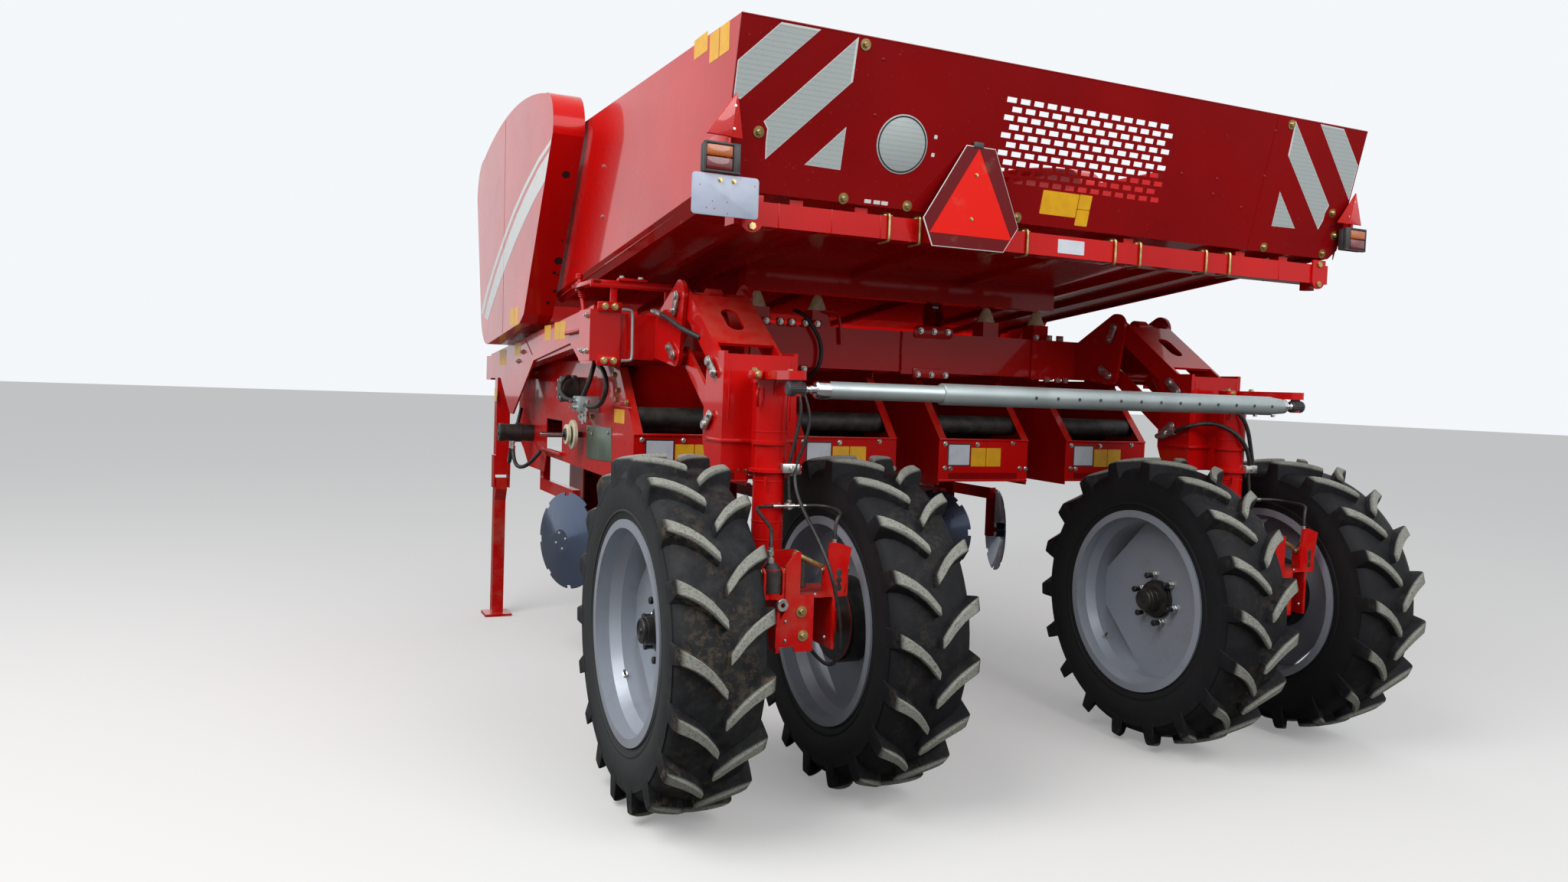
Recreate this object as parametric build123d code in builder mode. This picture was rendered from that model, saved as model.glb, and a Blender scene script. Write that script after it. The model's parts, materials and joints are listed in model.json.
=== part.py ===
"""Four-row belt planter for seed potatoes, semi-mounted, with steered twin rear wheels.

Millimetres. +X is the machine's right, +Y its driving direction, +Z up. The origin is on the
ground, under the middle of the machine's length. Everything is drawn from the point on the
ground below the rear axle, which the three drawing planes share.
"""
import os
from math import atan2, cos, hypot, radians, sin

from build123d import *

os.makedirs("parts", exist_ok=True)

# Rows and clearances
ROW_SPACING = 750.0
ROWS = [(-1.5 + index) * ROW_SPACING for index in range(4)]
SIDES = (("left", -1), ("right", 1))
SEAT = 0.3
PIN_PLAY = 0.25
PLATE = 16.0
SHEET = 6.0

# Wheels
TYRE_RADIUS = 618.0
TYRE_HALF = 160.0
TREAD_RADIUS = 580.0
TREAD_HALF = 134.0
TREAD_EDGE_RADIUS = 566.0
TREAD_SHOULDER = (520.0, 156.0)
TYRE_BULGE_RADIUS = 470.0
TYRE_FOOT = (406.0, 146.0)
TYRE_BEAD = (366.0, 136.0)
TYRE_WALL = 18.0
TYRE_INSIDE = (540.0, 124.0)
LUG_COUNT = 18
LUG_ROOT = 568.0
LUG_TOP = 613.0
# Footprint of a lug: (across from the middle, round the tyre towards its front at the top)
LUG_FOOTPRINT = ((2.0, -55.0), (24.0, -72.0), (158.0, 40.0), (158.0, 72.0))
# Section of a lug: (across, radius), with its worn-down shoulder
LUG_SECTION = ((0.0, LUG_ROOT), (0.0, LUG_TOP), (128.0, LUG_TOP), (158.0, 585.0), (158.0, LUG_ROOT))
RIM_RADIUS = 386.0
RIM_HALF = 150.0
RIM_WALL = 9.0
RIM_SEAT_RADIUS = 365.0
RIM_SEAT = (137.0, 100.0)
RIM_WELL_HALF = 60.0
RIM_WELL_RADIUS = 345.0
WHEEL_DISC = 12.0
WHEEL_DISC_HALF = 292.0
HUB_RADIUS = 82.0
HUB_FLANGE = 22.0
HUB_CAP_RADIUS = 50.0
HUB_REACH = 57.0
HUB_SPIGOT_RADIUS = 70.0
DRUM_RADIUS = 160.0
DRUM_WIDTH = 70.0

# Steered legs
KINGPIN_X = 1.5 * ROW_SPACING
KINGPIN_RADIUS = 30.0
LEG_RADIUS = 57.0
SLEEVE_RADIUS = 59.0
SLEEVE_BOTTOM = 1170.0
SLEEVE_TOP = 1500.0
SLEEVE_FLANGE_RADIUS = 74.0
SLEEVE_FLANGE = 12.0
ARM_HUB_RADIUS = 62.0
ARM_PLATE = 30.0
BALL_OUT = 42.0
BALL_BACK = 295.0
BALL_RADIUS = 18.0
BALL_EYE_RADIUS = 32.0
TIE_HEIGHT = 1470.0
TIE_RADIUS = 38.5
TIE_INNER_RADIUS = 30.0
TIE_END_RADIUS = 24.0
TIE_EYE_RADIUS = 36.0
TIE_OPEN_SLACK = 7.0
TIE_SPLIT = 600.0
TIE_TAPER = 110.0
ROCK_PIN_HEIGHT = 700.0
ROCK_PIN_RADIUS = 24.0
ROCK_BOSS_RADIUS = 50.0
ROCK_PIN_HEAD = 8.0
FORK_HALF = 84.0
FORK_WIDTH = 150.0
FORK_BOTTOM = 560.0
FORK_TOP = 900.0
FORK_CROWN = 60.0
AXLE_SIZE = 84.0
BACKING_PLATE = 14.0

# Brake bracket behind each axle. Outlines are (x from the kingpin, height)
BRAKE_BACK = 345.0
BRAKE_SHEET = 12.0
BRAKE_TOWER = ((-111, 615), (-110, 680), (-79, 734), (-79, 882), (-43, 930), (-26, 930), (-26, 775),
               (27, 775), (27, 595), (-37, 595), (-46, 615))
BRAKE_MAST = ((66, 775), (66, 845), (83, 958), (106, 959), (163, 941), (148, 844), (139, 775))
BRAKE_SHELF = (-79.0, 139.0)
BRAKE_SHELF_TOP = 787.0
BRAKE_SHELF_DEPTH = 190.0
BRAKE_CHEEK = ((-345.0, 596.0), (-345.0, 775.0), (-110.0, 775.0), (-30.0, 640.0), (-30.0, 596.0))
BRAKE_CHEEK_X = 27.0
BRAKE_CYLINDER_X = 118.0
BRAKE_CYLINDER_RADIUS = 30.0
BRAKE_CYLINDER_TOP = 874.0
BRAKE_EARS = (80.0, 148.0)
BRAKE_EAR = 8.0
BRAKE_EAR_HALF = 24.0
BRAKE_EAR_TOP = 876.0
BRAKE_EAR_CORNER = 14.0

# Rear linkage: pins as (ahead of the axle, height), and half widths across each leg's line
UPPER_FRONT_PIN = (613.0, 1827.0)
LOWER_FRONT_PIN = (635.0, 1590.0)
LINK_RUN = -385.0
LINK_DROP = -265.0
LINK_LENGTH = hypot(LINK_RUN, LINK_DROP)
LINK_PIN_RADIUS = 20.0
LINK_PIN_HEAD = 8.0
LINK_BOSS_RADIUS = 45.0
LOWER_BOSS_RADIUS = 36.0
HOUSING_HALF = 148.0
UPPER_HALF = 129.0
LOWER_HALF = 104.0
LINK_CHEEK = 14.0
LINK_WEB = 12.0
UPPER_WEB_START = 60.0
UPPER_WINDOW = (150.0, 70.0)
LOWER_WEB_START = 90.0
LOWER_WEB_END = 340.0
HOUSING_TOP = 1600.0
HOUSING_BACK = 100.0
HOUSING_FRONT = 292.0
HOUSING_FOOT = 252.0
HOUSING_NECK = 30.0
LIFT_BARREL_RADIUS = 42.0
LIFT_ROD_RADIUS = 22.0
LIFT_EYE_WIDTH = 60.0
LIFT_EYE_RADIUS = 38.0
LIFT_EYE_SLACK = 8.0
LIFT_BARREL_LENGTH = 400.0
LIFT_ROD_START = 210.0
LIFT_GLAND_LENGTH = 26.0
LIFT_GLAND_RADIUS = 47.0

# Frame
BEAM_REAR = 900.0
BEAM_DEPTH = 150.0
BEAM_BOTTOM = 1570.0
BEAM_HEIGHT = 190.0
BEAM_HALF = 1450.0
SLEEVE_INSIDE = 20.0
SLEEVE_OUTSIDE = 110.0
SLEEVE_WALL = 12.0
BEAM_PLATES = ((-835.0, -695.0), (-60.0, 140.0), (695.0, 835.0))
BEAM_PLATE = 10.0
BUFFER_X = (-775.0, -470.0, 470.0, 775.0)
BUFFER_AHEAD = 975.0
BUFFER_POST = 1834.0
BUFFER_POST_HALF = 45.0
BUFFER_TOP = 1904.0
BUFFER_RADII = (42.0, 15.0)
BRACKET_HEAD = 65.0
BRACKET_LOWER = 46.0
SIDE_BEAM_X = 1460.0
SIDE_BEAM_WIDTH = 80.0
SIDE_BEAM_HEIGHT = 150.0
SIDE_BEAM_REAR_TOP = 1800.0
SIDE_BEAM_FRONT_TOP = 1620.0
SKIN = 10.0
# Lower edge of a side beam's outer skin, from its rear tab to the lobe: (ahead, height)
SKIN_EDGE = ((1252.0, 1549.0), (1458.0, 1645.0), (2236.0, 1572.0), (2760.0, 1270.0), (2840.0, 1270.0),
             (3150.0, 1475.0))
SKIN_TAB = 1549.0
FRONT_BEAM_REAR = 3480.0
FRONT_BEAM_SIZE = 150.0
FRONT_BEAM_BOTTOM = 1460.0
FRONT_BEAM_HALF = 1500.0
POST_AHEAD = 3240.0
POST_BOTTOM = 880.0
POST_SIZE = 80.0

# Hitch: lower-link pins on a cross shaft
HITCH_AHEAD = 3980.0
HITCH_HEIGHT = 800.0
HITCH_SHAFT_RADIUS = 45.0
HITCH_PIN_RADIUS = 18.3
HITCH_PIN_LENGTH = 90.0
HITCH_SHOULDER = 482.5
HITCH_PLATE_X = 380.0
HITCH_PLATE = 25.0
HITCH_REACH = HITCH_AHEAD + 60.0
HITCH_OUTLINE = (
    (FRONT_BEAM_REAR, FRONT_BEAM_BOTTOM - 60), (FRONT_BEAM_REAR, FRONT_BEAM_BOTTOM + 60),
    (FRONT_BEAM_REAR + FRONT_BEAM_SIZE + 60, FRONT_BEAM_BOTTOM + FRONT_BEAM_SIZE),
    (HITCH_REACH, HITCH_HEIGHT + 80), (HITCH_REACH, HITCH_HEIGHT - 40),
    (HITCH_AHEAD - 60, HITCH_HEIGHT - 60), (FRONT_BEAM_REAR + 120, HITCH_HEIGHT + 380),
)

# Planting units
UNIT_HALF = 258.0
UNIT_REAR = 806.0
UNIT_FRONT = 3150.0
UNIT_BOTTOM = 1060.0
UNIT_LIP = 1040.0
BOX_TOP = 1262.0
UNIT_TOP = 1569.7
UNIT_NECK = 1538.0
UNIT_SHOULDER = 1700.0
UNIT_LEG = (2450.0, 2840.0)
UNIT_LEG_BOTTOM = 966.0
UNIT_FLANGE = 34.0
UNIT_WINDOW = ((2050.0, 2410.0), (1085.0, 1262.0))
ROLLER_AHEAD = 930.0
ROLLER_HEIGHT = 1325.0
ROLLER_RADIUS = 45.0
BELT_HEIGHT = 1285.0
BELT_REAR = 1150.0
BELT_FRONT = 2950.0
BELT_HALF = 130.0
BELT_DRUM_RADIUS = 50.0
BELT_THICK = 8.0
OPENER_BOTTOM = 430.0
OPENER_BACK = 2280.0
OPENER_NOSE = 2900.0
OPENER_HALF = 80.0
OPENER_WALL = 8.0
# Side view of an opener's shoe: (ahead, height)
OPENER_PROFILE = ((OPENER_BACK, OPENER_BOTTOM), (OPENER_BACK, 1200.0), (OPENER_NOSE, 1200.0),
                  (OPENER_NOSE, 700.0), (OPENER_NOSE - 110, 480.0), (OPENER_NOSE - 180, OPENER_BOTTOM))

# Covering discs
DISC_AHEAD = 2000.0
DISC_HEIGHT = 643.0
DISC_RADIUS = 250.0
DISC_SPREAD = 262.0
DISC_TOE = 22.0
DISC_THICK = 6.0
DISC_DISH = 45.0
DISC_FLAT = 60.0
DISC_HUB_RADIUS = 45.0
DISC_HUB_DEPTH = 50.0
DISC_CAP = 20.0
DISC_STEM = 85.0
DISC_STEM_HALF = 20.0
DISC_SPINDLE_RADIUS = 15.0
DISC_SPINDLE_GAP = 30.0
DISC_NOTCHES = 8
# Notches in the rim: radius of their ground, and degrees across
DISC_NOTCH = (232.0, 8.5)
DISC_ARM = (835.0, 905.0)
DISC_HANGER = (2700.0, 2780.0)

# Seed hopper at the rear, which tips: corners as (ahead, height)
HOPPER_HALF = 1433.0
HOPPER_WALL = 5.0
HOPPER_CHAMFER = 42.0
HOPPER_REAR_TOP = (-350.0, 2642.0)
HOPPER_REAR_BOTTOM = (-222.0, 2115.0)
HOPPER_FRONT_TOP = (2150.0, 2700.0)
HOPPER_FRONT_BOTTOM = (2300.0, 1850.0)
HOPPER_FLOOR_LIFT = 30.0
HOPPER_FLOOR_LIP = 22.0
HOPPER_CORNER_SHORT = 200.0
# Lug below each side wall around the tipping pin: (ahead of the pin, above it)
HOPPER_LUG = ((-170.0, 20.0), (-170.0, 44.0), (-56.0, 44.0), (50.0, 20.0), (40.0, -45.0), (-40.0, -45.0))
HOPPER_RIBS = (-1150.0, -900.0, -300.0, 300.0, 900.0, 1150.0)
HOPPER_RIB_HALF = 20.0
HOPPER_BEARER = (930.0, 1020.0)
HOPPER_BEARER_BOTTOM = 1910.0
HOPPER_BEARER_HALF = 850.0
TIP_PIVOT = (2350.0, 1830.0)
TIP_PIN_RADIUS = 25.0
TIP_EAR_X = HOPPER_HALF + 5.0
TIP_EAR = 12.0
REAR_BAR_HALF = 1388.0
REAR_BAR_SIZE = 80.0
REAR_BAR_AHEAD = -235.0
REAR_BAR_TOP = 2084.0
REAR_BAR_SADDLE = 2107.6
REAR_TAB_X = 1326.0
REAR_TAB_HALF = 38.0
REAR_TAB = (2018.0, 2103.0)
REAR_TAB_PLATE = 8.0
TIP_RAM_X = 750.0
TIP_RAM_FOOT = (2100.0, 1450.0)
TIP_RAM_HEAD = (1900.0, 1850.0)
TIP_RAM_PIN = 15.0
TIP_FOOT_PIN = 20.0
TIP_FOOT_RADIUS = 34.0
TIP_BARREL_RADIUS = 36.0
TIP_ROD_RADIUS = 18.0
TIP_BARREL_LENGTH = 400.0
TIP_ROD_START = 80.0
TIP_EYE_HALF = 20.0
TIP_EYE_SLACK = 6.0
TIP_CLEVIS = (24.0, 36.0)

# Perforated field of the rear panel, as distances across and up the panel
SLOT_COLUMNS = 13
SLOT_ROWS = 10
SLOT_PITCH = (59.5, 30.6)
SLOT_SIZE = (44.0, 18.0)
SLOT_START = (-372.0, 424.0)
SLOT_STAGGER = 29.0

# Lamps, reflectors, number plate and warning triangle, all blank
LAMP_X = 1462.0
LAMP_HALF = 62.0
LAMP_REAR = -309.0
LAMP_DEPTH = 44.0
LAMP_BOTTOM = 2148.0
LAMP_TOP = 2243.0
LAMP_STAY = 12.0
LAMP_STAY_BOTTOM = 2175.0
LAMP_STAY_TOP = 2290.0
LAMP_STAY_FRONT = -100.0
REFLECTOR = ((1345.0, 2259.0), (1490.0, 2259.0), (1446.0, 2393.0))
REFLECTOR_THICK = 6.0
PLATE_REAR = -300.0
PLATE_THICK = 4.0
PLATE_X = (-1560.0, -1330.0)
PLATE_Z = (2012.0, 2144.0)
# Warning triangle: (from its middle, height)
SIGN_X = -480.0
SIGN_OUTLINE = ((-52, 2358), (52, 2358), (205, 2060), (205, 2040), (153, 1985), (-153, 1985), (-205, 2040),
                (-205, 2060))
SIGN_REAR = -296.0
SIGN_THICK = 4.0
SIGN_POSTS = (-100.0, 100.0)
SIGN_POST_HEIGHT = 2044.0
SIGN_POST_RADIUS = 10.0

# Fixed hopper in front of the tipping one
FRONT_HOPPER_HALF = HOPPER_HALF - 28.0
FRONT_HOPPER_REAR = 2420.0
FRONT_HOPPER_FRONT = 3440.0
FRONT_HOPPER_TOP = 2760.0
FRONT_HOPPER_BOTTOM = 1570.0
FRONT_HOPPER_SILL = 1790.0
FRONT_HOPPER_LEAN = 160.0
FRONT_HOPPER_RIM = 40.0

# Side shields
SHIELD_INNER = HOPPER_HALF + 19.0
SHIELD_OUTER = SHIELD_INNER + 148.0
SHIELD_WALL = 5.0
SHIELD_STAY = ((2900.0, 3000.0), (2300.0, 2310.0))

# Parking stands
STAND_PIVOT = (3280.0, 830.0)
STAND_OFFSET = 40.0
STAND_TUBE = 68.0
STAND_FOOT = 160.0
STAND_PIN_RADIUS = 16.0
STAND_CHEEK = 10.0
STAND_HEAD = 32.0
STAND_SHOULDER = (-40.0, -110.0)
STAND_HANGER = 120.0

# Drives on the left unit's outer plate: (ahead, height)
UPPER_MOTOR = (1640.0, 1430.0)
UPPER_MOTOR_SIZE = (60.0, 100.0)
FRONT_MOTOR = (2750.0, 1165.0)
FRONT_MOTOR_SIZE = (48.0, 190.0)
PULLEY = (1650.0, 1212.0)
PULLEY_SHAFT = (14.0, 96.0)
# Steps of the double pulley: (radius, from, to) outwards from the plate
PULLEY_STEPS = ((68.0, 36.0, 52.0), (40.0, 52.0, 64.0), (46.0, 64.0, 80.0))

AXLE_Y = (TYRE_RADIUS - HITCH_REACH) / 2

GROUND = Plane(origin=(0, AXLE_Y, 0))
SIDE = Plane(origin=(0, AXLE_Y, 0), x_dir=(0, 1, 0), z_dir=(1, 0, 0))
REAR = Plane(origin=(0, AXLE_Y, 0), x_dir=(1, 0, 0), z_dir=(0, -1, 0))


def block(x_range, y_range, z_range, mode=Mode.ADD):
    """Upright block between two values along each direction."""
    with BuildSketch(GROUND.offset(min(z_range))) as profile:
        with Locations((sum(x_range) / 2, sum(y_range) / 2)):
            Rectangle(abs(x_range[1] - x_range[0]), abs(y_range[1] - y_range[0]))
    extrude(profile.sketch, amount=abs(z_range[1] - z_range[0]), mode=mode)


def plate(outline, x_from, x_to, mode=Mode.ADD):
    """Plate across X with a closed outline of (ahead, height) points."""
    with BuildSketch(SIDE.offset(min(x_from, x_to))) as profile:
        with BuildLine():
            Polyline(*outline, close=True)
        make_face()
    extrude(profile.sketch, amount=abs(x_to - x_from), mode=mode)


def upright(outline, y_from, y_to, mode=Mode.ADD):
    """Plate across Y with a closed outline of (x, height) points."""
    with BuildSketch(REAR.offset(-max(y_from, y_to))) as profile:
        with BuildLine():
            Polyline(*outline, close=True)
        make_face()
    extrude(profile.sketch, amount=abs(y_to - y_from), mode=mode)


def bar_x(x_from, x_to, point, radius, mode=Mode.ADD):
    """Round bar along X at an (ahead, height) point."""
    with BuildSketch(SIDE.offset(min(x_from, x_to))) as profile:
        with Locations(point):
            Circle(radius)
    extrude(profile.sketch, amount=abs(x_to - x_from), mode=mode)


def bar_y(y_from, y_to, point, radius, mode=Mode.ADD):
    """Round bar along Y at an (x, height) point."""
    with BuildSketch(REAR.offset(-max(y_from, y_to))) as profile:
        with Locations(point):
            Circle(radius)
    extrude(profile.sketch, amount=abs(y_to - y_from), mode=mode)


def bar_z(z_from, z_to, point, radius, mode=Mode.ADD):
    """Upright round bar at an (x, ahead) point."""
    with BuildSketch(GROUND.offset(min(z_from, z_to))) as profile:
        with Locations(point):
            Circle(radius)
    extrude(profile.sketch, amount=abs(z_to - z_from), mode=mode)


def link_plate(x_from, x_to, ends, radii, mode=Mode.ADD):
    """Cheek across X with round ends about (ahead, height) points."""
    with BuildSketch(SIDE.offset(min(x_from, x_to))) as profile:
        for point, radius in zip(ends, radii):
            with Locations(point):
                Circle(radius)
        make_hull()
    extrude(profile.sketch, amount=abs(x_to - x_from), mode=mode)


def bar_between(x, start, end, first, last, radius, mode=Mode.ADD):
    """Round bar at x on the line of two (ahead, height) points, between two distances along it."""
    run, rise = end[0] - start[0], end[1] - start[1]
    line = Plane(origin=(x, AXLE_Y + start[0], start[1]), x_dir=(1, 0, 0), z_dir=(0, run, rise))
    with BuildSketch(line.offset(first)) as profile:
        Circle(radius)
    extrude(profile.sketch, amount=last - first, mode=mode)


def shifted(point, run, rise):
    """The (ahead, height) point moved by a run and a rise."""
    return (point[0] + run, point[1] + rise)


def slanted_strip(pin, start, end, low, high):
    """Outline beside the line of the arms: distances along it from the front pin, and off it."""
    along = (LINK_RUN / LINK_LENGTH, LINK_DROP / LINK_LENGTH)
    off = (along[1], -along[0])
    return [
        (pin[0] + along[0] * run + off[0] * rise, pin[1] + along[1] * run + off[1] * rise)
        for run, rise in ((start, low), (end, low), (end, high), (start, high))
    ]


def save(piece, name):
    """Label a finished piece and write it."""
    piece.part.label = name
    export_step(piece.part, f"parts/{name}.step")


UPPER_REAR_PIN = shifted(UPPER_FRONT_PIN, LINK_RUN, LINK_DROP)
LOWER_REAR_PIN = shifted(LOWER_FRONT_PIN, LINK_RUN, LINK_DROP)

# Tyre, drawn once on the machine's middle line: a hollow carcass with two rings of slanted lugs
WHEEL_CENTRE = (0, AXLE_Y, TYRE_RADIUS)
WHEEL_AXIS = Axis(WHEEL_CENTRE, (1, 0, 0))
tyre_section = Plane(origin=WHEEL_CENTRE, x_dir=(0, 0, 1), z_dir=(0, 1, 0))
with BuildPart() as lug:
    with BuildSketch(Plane(origin=(0, AXLE_Y, TYRE_RADIUS + LUG_ROOT), x_dir=(1, 0, 0), z_dir=(0, 0, 1))):
        with BuildLine():
            Polyline(*LUG_FOOTPRINT, close=True)
        make_face()
    extrude(amount=LUG_TOP - LUG_ROOT)
    with BuildSketch(Plane(origin=WHEEL_CENTRE, x_dir=(1, 0, 0), z_dir=(0, -1, 0))) as section:
        with BuildLine():
            Polyline(*LUG_SECTION, close=True)
        make_face()
    extrude(section.sketch, amount=TYRE_HALF, both=True, mode=Mode.INTERSECT)

# The band under the lugs has a flat for each of them, which keeps its mesh light
with BuildPart() as carcass:
    with BuildSketch(SIDE.offset(-TREAD_HALF)) as band:
        with Locations((0, TYRE_RADIUS)):
            RegularPolygon(TREAD_RADIUS / cos(radians(90 / LUG_COUNT)), 2 * LUG_COUNT)
            Circle(TYRE_INSIDE[0] + TYRE_WALL / 2, mode=Mode.SUBTRACT)
    extrude(band.sketch, amount=2 * TREAD_HALF)
    with BuildSketch(tyre_section) as wall:
        with BuildLine():
            for hand in (-1, 1):
                shoulder = (TREAD_SHOULDER[0], hand * TREAD_SHOULDER[1])
                foot = (TYRE_FOOT[0], hand * TYRE_FOOT[1])
                under_band = TYRE_INSIDE[0] + TYRE_WALL
                Polyline((under_band, 0), (under_band, hand * (TREAD_HALF - 1)),
                         (TREAD_EDGE_RADIUS, hand * TREAD_HALF), shoulder)
                ThreePointArc(shoulder, (TYRE_BULGE_RADIUS, hand * TYRE_HALF), foot)
                Polyline(foot, (TYRE_BEAD[0], hand * TYRE_BEAD[1]),
                         (TYRE_BEAD[0], hand * (TYRE_BEAD[1] - TYRE_WALL)),
                         (TYRE_INSIDE[0], hand * TYRE_INSIDE[1]), (TYRE_INSIDE[0], 0))
        make_face()
    revolve(wall.sketch, axis=WHEEL_AXIS)
    pitch = 360 / LUG_COUNT
    right_lug = lug.part
    left_lug = right_lug.mirror(Plane.YZ).rotate(WHEEL_AXIS, pitch / 2)
    pair = (right_lug, left_lug)
    add([half.rotate(WHEEL_AXIS, pitch * index) for index in range(LUG_COUNT) for half in pair])

# Wheels: the dished face looks away from the leg, the brake drum looks at it
WHEELS = (
    ("left_outer", -2.0 * ROW_SPACING, -1),
    ("left_inner", -1.0 * ROW_SPACING, 1),
    ("right_inner", 1.0 * ROW_SPACING, -1),
    ("right_outer", 2.0 * ROW_SPACING, 1),
)
for wheel, wheel_x, outward in WHEELS:
    with BuildPart() as tyre:
        add(Pos(wheel_x, 0, 0) * carcass.part)
    save(tyre, f"tyre_{wheel}")

    # Sections are drawn as (radius, distance from the wheel's middle towards its dished face)
    section = Plane(origin=(wheel_x, AXLE_Y, TYRE_RADIUS), x_dir=(0, 0, 1), z_dir=(0, outward, 0))
    spin = Axis((wheel_x, AXLE_Y, TYRE_RADIUS), (1, 0, 0))
    upper_half = [
        (RIM_RADIUS, RIM_HALF), (RIM_RADIUS, RIM_HALF - RIM_WALL), (RIM_SEAT_RADIUS, RIM_SEAT[0]),
        (RIM_SEAT_RADIUS, RIM_SEAT[1]), (RIM_WELL_RADIUS, RIM_WELL_HALF),
    ]
    inner_half = [
        (RIM_WELL_RADIUS - RIM_WALL, RIM_WELL_HALF - 2), (RIM_SEAT_RADIUS - RIM_WALL, RIM_SEAT[1] - 2),
        (RIM_SEAT_RADIUS - RIM_WALL, RIM_HALF),
    ]
    with BuildPart() as rim:
        with BuildSketch(section):
            with BuildLine():
                outside = upper_half + [(radius, -across) for radius, across in reversed(upper_half)]
                inside = [(radius, -across) for radius, across in reversed(inner_half)] + inner_half
                Polyline(*outside, *inside, close=True)
            make_face()
        revolve(axis=spin)
        with BuildSketch(SIDE.offset(min(wheel_x, wheel_x - outward * WHEEL_DISC))):
            with Locations((0, TYRE_RADIUS)):
                Circle(RIM_WELL_RADIUS - RIM_WALL / 2)
                Rectangle(2 * WHEEL_DISC_HALF, 2 * WHEEL_DISC_HALF, rotation=45, mode=Mode.INTERSECT)
                Circle(HUB_SPIGOT_RADIUS + 2, mode=Mode.SUBTRACT)
        extrude(amount=WHEEL_DISC)
    save(rim, f"rim_{wheel}")

    with BuildPart() as hub:
        with BuildSketch(section):
            with BuildLine():
                Polyline((0, HUB_REACH), (HUB_CAP_RADIUS - 12, HUB_REACH), (HUB_CAP_RADIUS, HUB_REACH - 10),
                         (HUB_CAP_RADIUS, HUB_FLANGE), (HUB_RADIUS, HUB_FLANGE - 6), (HUB_RADIUS, SEAT),
                         (HUB_SPIGOT_RADIUS, SEAT), (HUB_SPIGOT_RADIUS, -WHEEL_DISC - SEAT),
                         (DRUM_RADIUS, -WHEEL_DISC - SEAT), (DRUM_RADIUS, -WHEEL_DISC - DRUM_WIDTH),
                         (0, -WHEEL_DISC - DRUM_WIDTH), close=True)
            make_face()
        revolve(axis=spin)
    save(hub, f"hub_{wheel}")

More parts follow.
